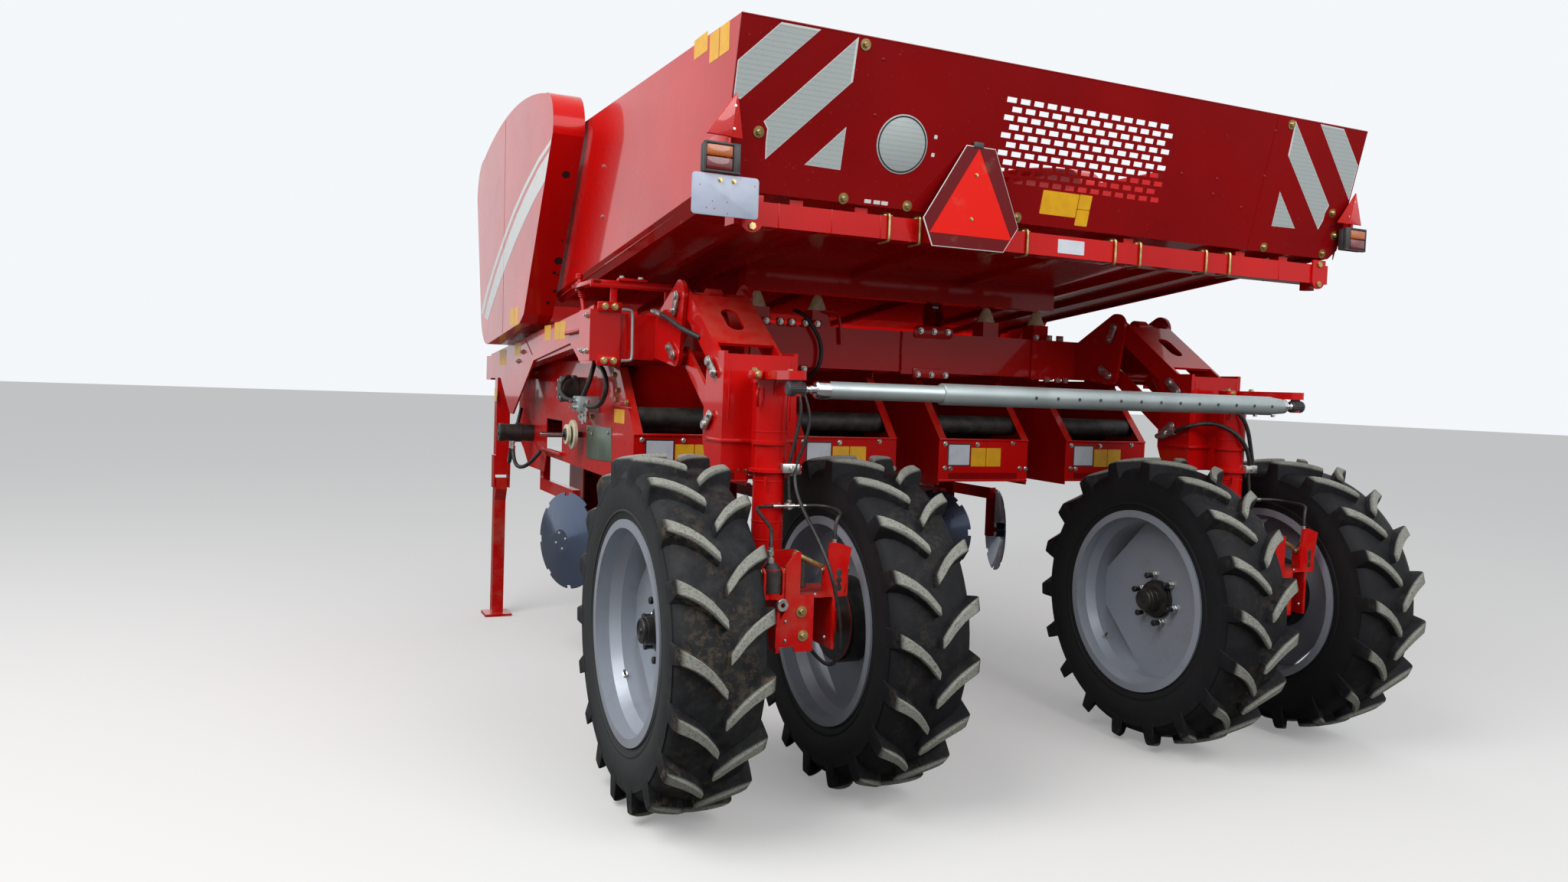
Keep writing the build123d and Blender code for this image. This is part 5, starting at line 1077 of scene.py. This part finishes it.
# Each body's keepers: pin and keeper bolt, as (ahead, up)
FRAME_KEEPERS = (((0.613, 1.827), (0.64, 1.768)), ((0.635, 1.59), (0.69, 1.622)))
HOUSING_KEEPERS = (((0.228, 1.562), (0.176, 1.52)), ((0.25, 1.325), (0.203, 1.362)))
TEE_HEIGHT = 1.053
CYLINDER_Y = -0.315
CYLINDER_X = 0.118
CYLINDER_FOOT = 0.893
BRAKE_PLATE = -0.345
TEE_HOSES = (
    ((-0.01, -0.075, 1.053), (-0.075, -0.08, 1.054), (-0.098, -0.13, 1.045), (-0.09, -0.24, 1.0),
     (-0.122, -0.31, 0.98), (-0.125, -0.315, 0.942)),
    ((0.113, -0.075, 1.053), (0.17, -0.09, 1.056), (0.196, -0.16, 1.05), (0.15, -0.29, 1.05),
     (0.112, -0.315, 1.03), (0.112, -0.315, 0.962)))
# Last points of a supply hose, from the clamp down to the tee
SUPPLY_FOOT = ((0.044, -0.066, 1.187), (0.05, -0.07, 1.12), (0.051, -0.075, 1.07))
SUPPLY_HOSES = {
    "left": (
        ((0.07, -0.045, 1.496), (0.085, -0.09, 1.42), (0.062, -0.088, 1.3), *SUPPLY_FOOT),
        ((0.09, -0.035, 1.496), (0.12, -0.09, 1.4), (0.1, -0.09, 1.28), (0.066, -0.066, 1.187),
         (0.06, -0.12, 1.08), (0.05, -0.36, 0.94), (0.09, -0.395, 0.78), (0.125, -0.37, 0.62),
         (0.12, -0.34, 0.54), (0.09, -0.3, 0.535), (0.07, -0.25, 0.575))),
    "right": (((0.042, -0.07, 1.215), *SUPPLY_FOOT),),
}
RIGHT_HOSES = (
    ((-0.175, 0.165, 1.337), (-0.177, 0.112, 1.359), (-0.15, 0.07, 1.374), (-0.1, 0.055, 1.383),
     (-0.066, 0.0, 1.38), (-0.04, -0.078, 1.34), (0.017, -0.085, 1.271), (0.039, -0.078, 1.208)),
    ((-0.07, -0.04, 1.468), (-0.038, -0.083, 1.431), (0.002, -0.09, 1.368), (0.032, -0.085, 1.278),
     (0.056, -0.078, 1.208)))


def pin_keepers(side, king, body, keepers):
    """Keeper plates, pin heads, bolts and their bosses on both faces of the cheeks."""
    plates = Part(f"pin_keepers_{body}_{side}", bright_zinc, body, king)
    for pin, bolt in keepers:
        for face in (-1, 1):
            out = RIGHT * face
            foot = face * CHEEK_FACE
            top = foot + face * KEEPER_THICK
            plates.side_slab(oval(pin, bolt, 0.021), foot, face, KEEPER_THICK, 0.0015)
            plates.turned((top, *pin), out, ((0, 0.017), (0.006, 0.017), (0.008, 0.014)), 20)
            plates.bolt((top, *bolt), out, 0.01)
            plates.disc((face * 0.148, *bolt), out, 0.009, 0.0085, 12)
    plates.done()


def weld_line(part, up, radius):
    """Raised line round the kingpin's tube."""
    proud = radius + 0.002
    part.ring((0, 0, up), UP, ((0, radius), (0.0008, proud), (0.0045, proud), (0.0053, radius)), 32)


def leg_trim(side, king):
    """Clamp lugs with their bolts, weld lines and a stop on the leg, and the brake drums' backs."""
    leg = f"leg_{side}"
    collar = Part(f"leg_collar_{side}", red_paint, leg, king)
    gold = Part(f"leg_collar_bolts_{side}", gold_zinc, leg, king)
    for across in (-0.09, 0.048):
        collar.block((across - 0.022, -0.082, 1.5), (across + 0.022, -0.03, 1.53), 0.003)
        gold.bolt((across, -0.082, 1.516), BACK, 0.012)
        gold.bolt((across, -0.055, 1.53), UP, 0.012)
    for up in (0.925, 0.99, 1.135):
        weld_line(collar, up, 0.0565)
    collar.rod((-0.04, -0.06, 1.155), (-0.04, -0.06, 1.12), 0.006)
    drums = Part(f"drum_backs_{side}", plain_black, leg, king)
    for end in (-1, 1):
        drums.turned((end * 0.2782, 0, AXLE_HEIGHT), RIGHT * end, (
            (0, 0.12), (0.0005, 0.1505), (0.002, 0.1525), (0.0144, 0.1525)), 48)
    done_all(drums, collar, gold)


def housing_trim(side, king):
    """Weld lines and foot plate of the kingpin housing, and its grease pipe."""
    housing = f"housing_{side}"
    trim = Part(f"housing_trim_{side}", red_paint, housing, king)
    weld_line(trim, 1.312, 0.0585)
    for across in (-0.125, 0.125):
        trim.disc((across, 0.1, 1.35), UP, 0.0035, 0.22, 8)
    trim.block((-0.154, 0.09, 1.268), (0.154, 0.262, 1.28), 0.002)
    trim.ring((0, 0, 1.268), UP, ((0, 0.058), (0, 0.069), (0.012, 0.069), (0.012, 0.058)), 32)
    trim.done()
    bent(f"grease_pipe_{side}", red_paint, housing, 0.006, (
        (-0.066, -0.038, 1.468), (-0.076, -0.045, 1.45), (-0.074, -0.044, 1.43), (-0.066, -0.03, 1.405)),
        across=king)


def brake_tee(silver):
    """Hose clamp on the leg and the T-piece below it."""
    silver.block((0.018, -0.08, 1.17), (0.085, -0.052, 1.204), 0.003)
    silver.bolt((0.052, -0.08, 1.187), BACK, 0.01)
    silver.stepped((-0.013, -0.075, TEE_HEIGHT), RIGHT, (
        (0.03, 0.0075), (0.045, 0.005), (0.083, 0.0095), (0.098, 0.005), (0.128, 0.0075)), 12)
    silver.rod((0.051, -0.075, 1.04), (0.051, -0.075, 1.075), 0.009, 12, 0.001)
    silver.rod((0.051, -0.05, TEE_HEIGHT), (0.051, -0.083, TEE_HEIGHT), 0.012, 12, 0.001)


def brake_cylinder(silver, gold, boots, hand, coupling_x, coupling_top):
    """Ribbed boot with its pin on one side of the bracket, and the hose coupling on top."""
    silver.turned((coupling_x, CYLINDER_Y, CYLINDER_FOOT), UP, (
        (0, 0.0135), (0.016, 0.0135), (0.016, 0.008), (0.026, 0.008), (0.026, 0.0115), (0.04, 0.0115),
        (0.042, 0.0085), (coupling_top - CYLINDER_FOOT, 0.0085)), 10)
    middle = hand * CYLINDER_X
    boots.turned((middle, CYLINDER_Y, 0.795), UP, (
        (0, 0.0315), (0.012, 0.0325), (0.024, 0.0305), (0.036, 0.0325), (0.048, 0.0305), (0.06, 0.0325),
        (0.072, 0.031), (0.084, 0.0285), (0.0985, 0.0155)), 24)
    pin_y, pin_up = CYLINDER_Y - 0.0005, 0.862
    silver.rod((middle - 0.052, pin_y, pin_up), (middle + 0.052, pin_y, pin_up), 0.0065, 12, 0.001)
    for face in (-1, 1):
        gold.disc((middle + face * 0.038, pin_y, pin_up), RIGHT * face, 0.011, 0.012, 6)


def brake_plate(silver, gold, boots):
    """Slanting screw and dark post between the cylinders; bolts, bush and rivets of the plate."""
    gold.rod((-0.024, -0.3, 0.917), (0.077, -0.3, 0.87), 0.0095, 16, 0.002)
    gold.disc((-0.03, -0.3, 0.92), (0.101, 0, -0.047), 0.013, 0.016, 6)
    boots.rod((0.005, -0.29, 0.9), (0.005, -0.29, 0.8), 0.014, 14, 0.003)
    for across, up in ((-0.019, 0.731), (-0.011, 0.65)):
        gold.disc((across, BRAKE_PLATE, up), BACK, 0.019, 0.003, 18)
        gold.bolt((across, BRAKE_PLATE - 0.003, up), BACK, 0.012)
    silver.ring((-0.092, BRAKE_PLATE, 0.757), BACK, (
        (0, 0.008), (0, 0.021), (0.01, 0.021), (0.012, 0.019), (0.012, 0.008)), 24)
    for across, up in ((-0.076, 0.7), (-0.075, 0.636), (0.03, 0.786), (0.07, 0.64)):
        silver.turned((across, BRAKE_PLATE, up), BACK, ((0, 0.0055), (0.003, 0.005), (0.0045, 0.003)), 12)


def brake_bracket(side, king):
    """Hose clamp, tee, cylinders' boots and couplings, plate bolts and brake hoses of one leg."""
    leg = f"leg_{side}"
    silver = Part(f"brake_fittings_{side}", bright_zinc, leg, king)
    gold = Part(f"brake_bolts_{side}", gold_zinc, leg, king)
    boots = Part(f"brake_boots_{side}", belt_rubber, leg, king)
    brake_tee(silver)
    brake_cylinder(silver, gold, boots, -1, -0.125, 0.945)
    brake_cylinder(silver, gold, boots, 1, 0.112, 0.966)
    brake_plate(silver, gold, boots)
    done_all(silver, gold, boots)
    runs = TEE_HOSES + SUPPLY_HOSES[side]
    bent(f"brake_hoses_{side}", hose_rubber, leg, 0.0065, *runs, across=king)


def right_hoses():
    """Hoses round the right housing to the clamp on its leg, with the coupling on the inner wall."""
    silver = Part("right_housing_fittings", bright_zinc, "housing_right", KINGPIN_X)
    silver.rod((-0.146, 0.262, 1.314), (-0.18, 0.262, 1.314), 0.013, 12, 0.002)
    silver.stepped((-0.175, 0.272, 1.312), (0, -0.12, 0.028), (
        (0.035, 0.011), (0.065, 0.016), (0.085, 0.011), (0.115, 0.014)), 10)
    silver.done()
    bent("right_housing_hoses", hose_rubber, "housing_right", 0.009, *RIGHT_HOSES, across=KINGPIN_X)


def bracket_hoses(side, hand):
    """Coupling and hose that leave the lift bracket towards the lift ram."""
    out = hand * (KINGPIN_X + 0.176)
    silver = Part(f"bracket_fittings_{side}", bright_zinc, "frame")
    silver.stepped((out, 0.86, 1.777), (0, -0.15, -0.027), (
        (0.03, 0.01), (0.06, 0.014), (0.09, 0.01), (0.13, 0.0135)), 10)
    silver.done()
    bent(f"bracket_hoses_{side}", hose_rubber, "frame", 0.0105, (
        (0, 0.735, 1.755), (0, 0.66, 1.74), (0, 0.565, 1.712), (hand * -0.012, 0.47, 1.68),
        (hand * -0.05, 0.41, 1.655)), across=out)


for side, hand in SIDES:
    king = hand * KINGPIN_X
    pin_keepers(side, king, "frame", FRAME_KEEPERS)
    pin_keepers(side, king, f"housing_{side}", HOUSING_KEEPERS)
    leg_trim(side, king)
    housing_trim(side, king)
    brake_bracket(side, king)
    bracket_hoses(side, hand)
right_hoses()


# Tie rod

TIE_ROD = Vector((0, -0.295, 1.47))
TIE_JOINT_X = 1.167
TIE_HOLE_GAP = 0.1


def tie_joint(joints, bright, hand):
    """Ribbed ball joint at one end, its dust boot, and the bright neck and collar beside it."""
    end = TIE_ROD + RIGHT * (hand * TIE_JOINT_X)
    inwards = RIGHT * -hand
    joints.turned(end - inwards * 0.035, inwards, (
        (0, 0.018), (0.003, 0.0225), (0.06, 0.0225), (0.063, 0.018)), 36)
    for rib in circle(20, 0.0225):
        joints.rod(end - inwards * 0.033 + rib, end + inwards * 0.026 + rib, 0.0026, 6, 0.001)
    joints.turned(end + UP * 0.018, UP, (
        (0, 0.019), (0.008, 0.0195), (0.016, 0.015), (0.022, 0.011), (0.03, 0.011)), 24)
    bright.turned(end + inwards * 0.028, inwards, (
        (0, 0.013), (0.006, 0.0165), (0.012, 0.013), (0.018, 0.013), (0.024, 0.0165), (0.03, 0.013),
        (0.036, 0.013), (0.038, 0.024), (0.044, 0.03), (0.056, 0.0312), (0.09, 0.0312),
        (0.092, 0.029)), 32)


def tie_rod():
    """Telescoping tube with its row of holes as dark discs of painted shade, and two clamp bolts, between the
    ball joints.
    """
    tube = Part("tie_rod_tube", galvanised, "tie_rod")
    joints = Part("tie_rod_joints_and_hole_shade", dark_plastic, "tie_rod", crease=20)
    bright = Part("tie_rod_collars", chrome, "tie_rod")
    tube.turned(TIE_ROD - RIGHT * 1.09, RIGHT, (
        (0, 0.03), (0.488, 0.03), (0.49, 0.031), (0.49, 0.0365), (0.493, 0.0385), (2.106, 0.0385),
        (2.112, 0.036), (2.18, 0.03)), 40)
    for side, hand in SIDES:
        tie_joint(joints, bright, hand)
    # The holes are thin dark discs in the joints' plastic: painted shade.
    for index in range(13):
        hole = TIE_ROD + Vector((index * TIE_HOLE_GAP - 0.21, -0.038, -0.002))
        joints.disc(hole, BACK, 0.0065, 0.0012, 14)
    for across in (0.937, 1.039):
        bright.bolt(TIE_ROD + Vector((across, 0, -0.0365)), DOWN, 0.01)
    done_all(joints, bright)
    tube.done("tie_rod")


tie_rod()


# Planting units: labels and bolts on the rear plates, and the left unit's drives

UNIT_BACK = 0.806
UNIT_BOLTS = (
    (-0.223, 1.236), (0.167, 1.243), (0.214, 1.12), (0.25, 1.118), (-0.222, 1.12), (-0.19, 1.118),
    (-0.04, 1.235))
UNIT_SIDE = -1.383
SIDE_BOLTS = ((1.051, 1.436), (1.067, 1.396), (0.91, 1.387), (1.114, 1.504), (1.552, 1.303), (1.471, 1.306))
REAR_MOTOR = Vector((-1.483, 1.64, 1.43))
FRONT_MOTOR = Vector((-1.573, 2.75, 1.165))
PULLEY = Vector((0, 1.65, 1.212))
DRIVE_HOSES = (
    ((-1.4, 1.36, 1.61), (-1.42, 1.28, 1.55), (-1.43, 1.12, 1.525), (-1.435, 1.045, 1.45),
     (-1.44, 1.1, 1.375), (-1.45, 1.24, 1.352), (-1.45, 1.34, 1.36)),
    ((-1.4, 1.34, 1.61), (-1.43, 1.31, 1.52), (-1.45, 1.32, 1.44), (-1.46, 1.36, 1.4)),
    ((-1.49, 1.4, 1.38), (-1.51, 1.42, 1.38), (-1.52, 1.5, 1.4), (-1.52, 1.56, 1.44),
     (-1.5, 1.54, 1.49), (-1.47, 1.58, 1.49)),
    ((-1.5, 2.72, 1.08), (-1.5, 2.71, 1.02), (-1.49, 2.62, 0.97), (-1.45, 2.5, 1.0),
     (-1.4, 2.46, 1.08)),
    ((-1.5, 2.78, 1.08), (-1.5, 2.79, 1.0), (-1.49, 2.9, 0.98), (-1.45, 2.98, 1.1),
     (-1.4, 3.0, 1.3)))


def unit_rears():
    """Blank labels, bolts, lips, and a dark strip of painted shade in the recessed band, on each unit's rear
    plate.
    """
    labels = Part("unit_labels_white", plain_white, "frame")
    edges = Part("unit_label_edges", plain_black, "frame")
    yellow = Part("unit_labels_yellow", plain_yellow, "frame")
    silver = Part("unit_bolts", bright_zinc, "frame")
    lips = Part("unit_lips", red_paint, "frame")
    shade_strip = Part("unit_shade_strips", dark_red_paint, "frame")
    for row in ROWS:
        edges.back_slab(rounded(0.13, 0.108, 0.004, row - 0.143, 1.184), UNIT_BACK, FILM)
        labels.back_slab(rounded(0.118, 0.096, 0.002, row - 0.143, 1.184), UNIT_BACK - FILM, FILM)
        for across in (-0.032, 0.056):
            outline = rounded(0.084, 0.089, 0.003, row + across, 1.1735)
            yellow.back_slab(outline, UNIT_BACK, LABEL_THICK)
        for across, up in UNIT_BOLTS:
            silver.bolt((row + across, UNIT_BACK, up), BACK, 0.01)
        for low in (1.056, 1.252):
            corner = (row - 0.258, UNIT_BACK - 0.006, low)
            lips.block(corner, (row + 0.258, UNIT_BACK + 0.0005, low + 0.01), 0.002)
        # Flat dark red strip: painted shade where the recessed band above the lower lip lies in shadow.
        shade_strip.back_slab(rounded(0.4, 0.03, 0.006, row, 1.083), UNIT_BACK, LABEL_THICK)
    done_all(labels, edges, yellow, silver, lips, shade_strip)


def unit_side():
    """Cover, blank label, edges and bolts on the left unit's outer plate."""
    cover = Part("unit_cover", grey_green, "frame")
    outline = ((1.557, 1.263), (1.137, 1.269), (1.122, 1.119), (1.547, 1.107))
    cover.side_slab(outline, UNIT_SIDE, -1, 0.004, 0.0012)
    label = Part("unit_side_label", plain_yellow, "frame")
    label.side_slab(rounded(0.155, 0.06, 0.003, 1.025, 1.325), UNIT_SIDE, -1, LABEL_THICK)
    red = Part("unit_side_trim", red_paint, "frame")
    upper_edge = ((1.12, 1.368), (0.83, 1.368), (0.83, 1.363), (1.12, 1.363))
    lower_edge = ((2.02, 1.1), (2.42, 1.1), (2.42, 1.082), (2.02, 1.082))
    red.side_slab(upper_edge, UNIT_SIDE, -1, 0.004, 0.001)
    red.side_slab(lower_edge, UNIT_SIDE, -1, 0.02, 0.003)
    gold = Part("unit_side_bolts", gold_zinc, "frame")
    for ahead, up in SIDE_BOLTS:
        gold.bolt((UNIT_SIDE, ahead, up), -RIGHT, 0.012)
    done_all(cover, label, red, gold)


def motor_ends(silver, black):
    """End caps, flange rings and bolts of the two drive motors."""
    out = -RIGHT
    black.turned(REAR_MOTOR, out, (
        (0, 0.062), (0.012, 0.062), (0.016, 0.056), (0.016, 0.03), (0.024, 0.026)), 32)
    black.ring(REAR_MOTOR - out * 0.06, out, ((0, 0.055), (0, 0.068), (0.02, 0.068), (0.02, 0.055)), 32)
    for spoke in circle(6, 0.047):
        silver.disc(REAR_MOTOR + spoke + out * 0.0155, out, 0.0075, 0.006, 6)
    black.turned(FRONT_MOTOR - out * 0.02, out, (
        (0, 0.052), (0.02, 0.052), (0.026, 0.046), (0.026, 0.018), (0.03, 0.016)), 32)
    black.ring(FRONT_MOTOR - out * 0.12, out, ((0, 0.04), (0, 0.054), (0.03, 0.054), (0.03, 0.04)), 32)


def valve_block(silver):
    """Valve block on the unit's side, and the hose couplings around it and at the front motor."""
    valve = Part("valve_block", galvanised, "frame")
    valve.block((-1.48, 1.34, 1.33), (-1.384, 1.46, 1.402), 0.004)
    valve.block((-1.46, 1.46, 1.34), (-1.4, 1.56, 1.39), 0.004)
    valve.done()
    for ahead, up in ((1.31, 1.385), (1.33, 1.335), (1.38, 1.325), (1.43, 1.34)):
        silver.stepped((-1.45, ahead, up), DOWN, (
            (0.014, 0.011), (0.024, 0.0075), (0.04, 0.012), (0.05, 0.008)), 10)
    for up in (1.35, 1.38):
        silver.stepped((-1.48, 1.4, up), -RIGHT, ((0.012, 0.011), (0.03, 0.007)), 8)
    for ahead in (2.72, 2.78):
        silver.stepped((-1.5, ahead, 1.118), DOWN, ((0.014, 0.012), (0.026, 0.008), (0.044, 0.013)), 10)


def pulley(black):
    """White double pulley with its dark hub and bright shaft."""
    out = -RIGHT
    white = Part("white_pulley", pulley_nylon, "frame")
    white.turned(PULLEY + out * 1.4185, out, (
        (0, 0.0685), (0.002, 0.0705), (0.016, 0.0705), (0.018, 0.0685)), 40)
    white.turned(PULLEY + out * 1.4465, out, (
        (0, 0.0475), (0.002, 0.049), (0.0155, 0.049), (0.0175, 0.047)), 40)
    black.turned(PULLEY + out * 1.4635, out, ((0, 0.03), (0.006, 0.028)), 28)
    bright = Part("pulley_shaft", chrome, "frame")
    bright.rod(PULLEY + out * 1.46, PULLEY + out * 1.585, 0.009, 16, 0.001)
    done_all(white, bright)


def left_drives():
    """Motors, valve block, pulley and hoses on the left unit's outer plate."""
    silver = Part("drive_fittings", bright_zinc, "frame")
    for ahead in (1.17, 1.52):
        silver.bolt((UNIT_SIDE - 0.004, ahead, 1.245), -RIGHT, 0.008)
    silver.bolt((UNIT_SIDE, 1.444, 1.228), -RIGHT, 0.01)
    black = Part("drive_motor_ends", black_paint, "frame")
    motor_ends(silver, black)
    valve_block(silver)
    pulley(black)
    done_all(silver, black)
    bent("drive_hoses", hose_rubber, "frame", 0.011, *DRIVE_HOSES)


unit_rears()
unit_side()
left_drives()


# Covering discs: middle of the one right of its row, and the slant at which it looks outwards

DISC_X, DISC_Y, DISC_HEIGHT = 0.262, 2.0, 0.643
DISC_OUT_X, DISC_OUT_Y = 0.927, -0.375


def disc_bolts():
    """Four round bolt heads on each covering disc."""
    for index in range(8):
        row, hand = ROWS[index // 2], (-1, 1)[index % 2]
        bolts = Part(f"disc_bolts_{index + 1}", bright_zinc, f"disc_{index + 1}", row)
        out = Vector((hand * DISC_OUT_X, DISC_OUT_Y, 0))
        level = Vector((-DISC_OUT_Y, hand * DISC_OUT_X, 0))
        middle = Vector((hand * DISC_X, DISC_Y, DISC_HEIGHT)) + out * 0.0002
        for spoke in circle(4, 0.042, 20 / 90, level):
            bolts.turned(middle + spoke, out, ((0, 0.0085), (0.003, 0.0075), (0.005, 0.004)), 14)
        bolts.done()


disc_bolts()


# Studio

# The photograph's camera, from the ground below the rear axle; turns in degrees
CAMERA_PLACE = Vector((-2.7547, AXLE_Y - 3.6168, 1.4696))
CAMERA_YAW = 24.99
CAMERA_PITCH = -2.71
CAMERA_ROLL = 2.06
CAMERA_LENS = 25.352
CAMERA_SENSOR = 36.0
LIT_FLOOR = rgb(114, 111, 107)
SEEN_FLOOR = rgb(192, 191, 189)
FLOOR_GLOW = 0.24
SKY_LIGHT = (0.93, 0.96, 1.0, 1.0)
SKY_STRENGTH = 0.62
BACKDROP = (0.9, 0.93, 0.96, 1.0)


def ground():
    """Wide pale floor. The camera sees it paler than it lights the machine, with its shadow kept."""
    grid = bmesh.new()
    bmesh.ops.create_grid(grid, x_segments=1, y_segments=1, size=90)
    mesh = bpy.data.meshes.new("floor")
    grid.to_mesh(mesh)
    grid.free()
    floor = bpy.data.objects.new("floor", mesh)
    bpy.context.collection.objects.link(floor)
    material = bpy.data.materials.new("pale_floor")
    shading = Shading(material)
    lit = shading.add("ShaderNodeBsdfDiffuse", {}, {"Color": LIT_FLOOR})
    pale = shading.add("ShaderNodeBsdfDiffuse", {}, {"Color": SEEN_FLOOR})
    glow = shading.add("ShaderNodeEmission", {}, {"Color": rgb(250, 250, 250), "Strength": FLOOR_GLOW})
    seen = shading.add("ShaderNodeAddShader", {}, {0: pale, 1: glow})
    by_camera = shading.add("ShaderNodeLightPath", {}, {}, "Is Camera Ray")
    mix = shading.add("ShaderNodeMixShader", {}, {0: by_camera, 1: lit, 2: seen})
    shading.show("ShaderNodeOutputMaterial", mix)
    mesh.materials.append(material)


def sky():
    """White for the camera and in reflections, and an even grey light on the machine."""
    world = bpy.data.worlds.new("studio_sky")
    shading = Shading(world)
    by_camera = shading.add("ShaderNodeLightPath", {}, {}, "Is Camera Ray")
    by_gloss = shading.add("ShaderNodeLightPath", {}, {}, "Is Glossy Ray")
    light = shading.add("ShaderNodeBackground", {}, {"Color": SKY_LIGHT, "Strength": SKY_STRENGTH})
    backdrop = shading.add("ShaderNodeBackground", {}, {"Color": BACKDROP, "Strength": 1.0})
    seen = by_camera.math("MAXIMUM", by_gloss)
    shading.show("ShaderNodeOutputWorld", shading.add(
        "ShaderNodeMixShader", {}, {0: seen, 1: light, 2: backdrop}))
    bpy.context.scene.world = world


def soft_lamp(name, place, target, size, power):
    data = bpy.data.lights.new(name, "AREA")
    data.shape = "DISK"
    data.size = size
    data.energy = power
    lamp = bpy.data.objects.new(name, data)
    lamp.location = place
    lamp.rotation_mode = "QUATERNION"
    lamp.rotation_quaternion = (Vector(target) - Vector(place)).to_track_quat("-Z", "Y")
    bpy.context.collection.objects.link(lamp)


def photograph_camera():
    yaw, pitch, roll = (math.radians(turn) for turn in (CAMERA_YAW, CAMERA_PITCH, CAMERA_ROLL))
    forward = Vector((math.sin(yaw) * math.cos(pitch), math.cos(yaw) * math.cos(pitch), math.sin(pitch)))
    level = Vector((math.cos(yaw), -math.sin(yaw), 0))
    rise = level.cross(forward)
    right = math.cos(roll) * level + math.sin(roll) * rise
    up = math.cos(roll) * rise - math.sin(roll) * level
    camera = bpy.data.objects.new("camera", bpy.data.cameras.new("camera"))
    camera.data.lens = CAMERA_LENS
    camera.data.sensor_width = CAMERA_SENSOR
    turn = Matrix((right, up, -forward)).transposed().to_4x4()
    camera.matrix_world = Matrix.Translation(CAMERA_PLACE) @ turn
    bpy.context.collection.objects.link(camera)
    bpy.context.scene.camera = camera


ground()
sky()
soft_lamp("sky_left", (-6.0, -3.0, 7.0), (0.0, 0.0, 1.5), 6.0, 520)
soft_lamp("sky_behind", (1.0, -8.0, 5.5), (0.0, -1.0, 1.2), 5.0, 290)
photograph_camera()
bpy.context.scene.view_settings.view_transform = "Standard"
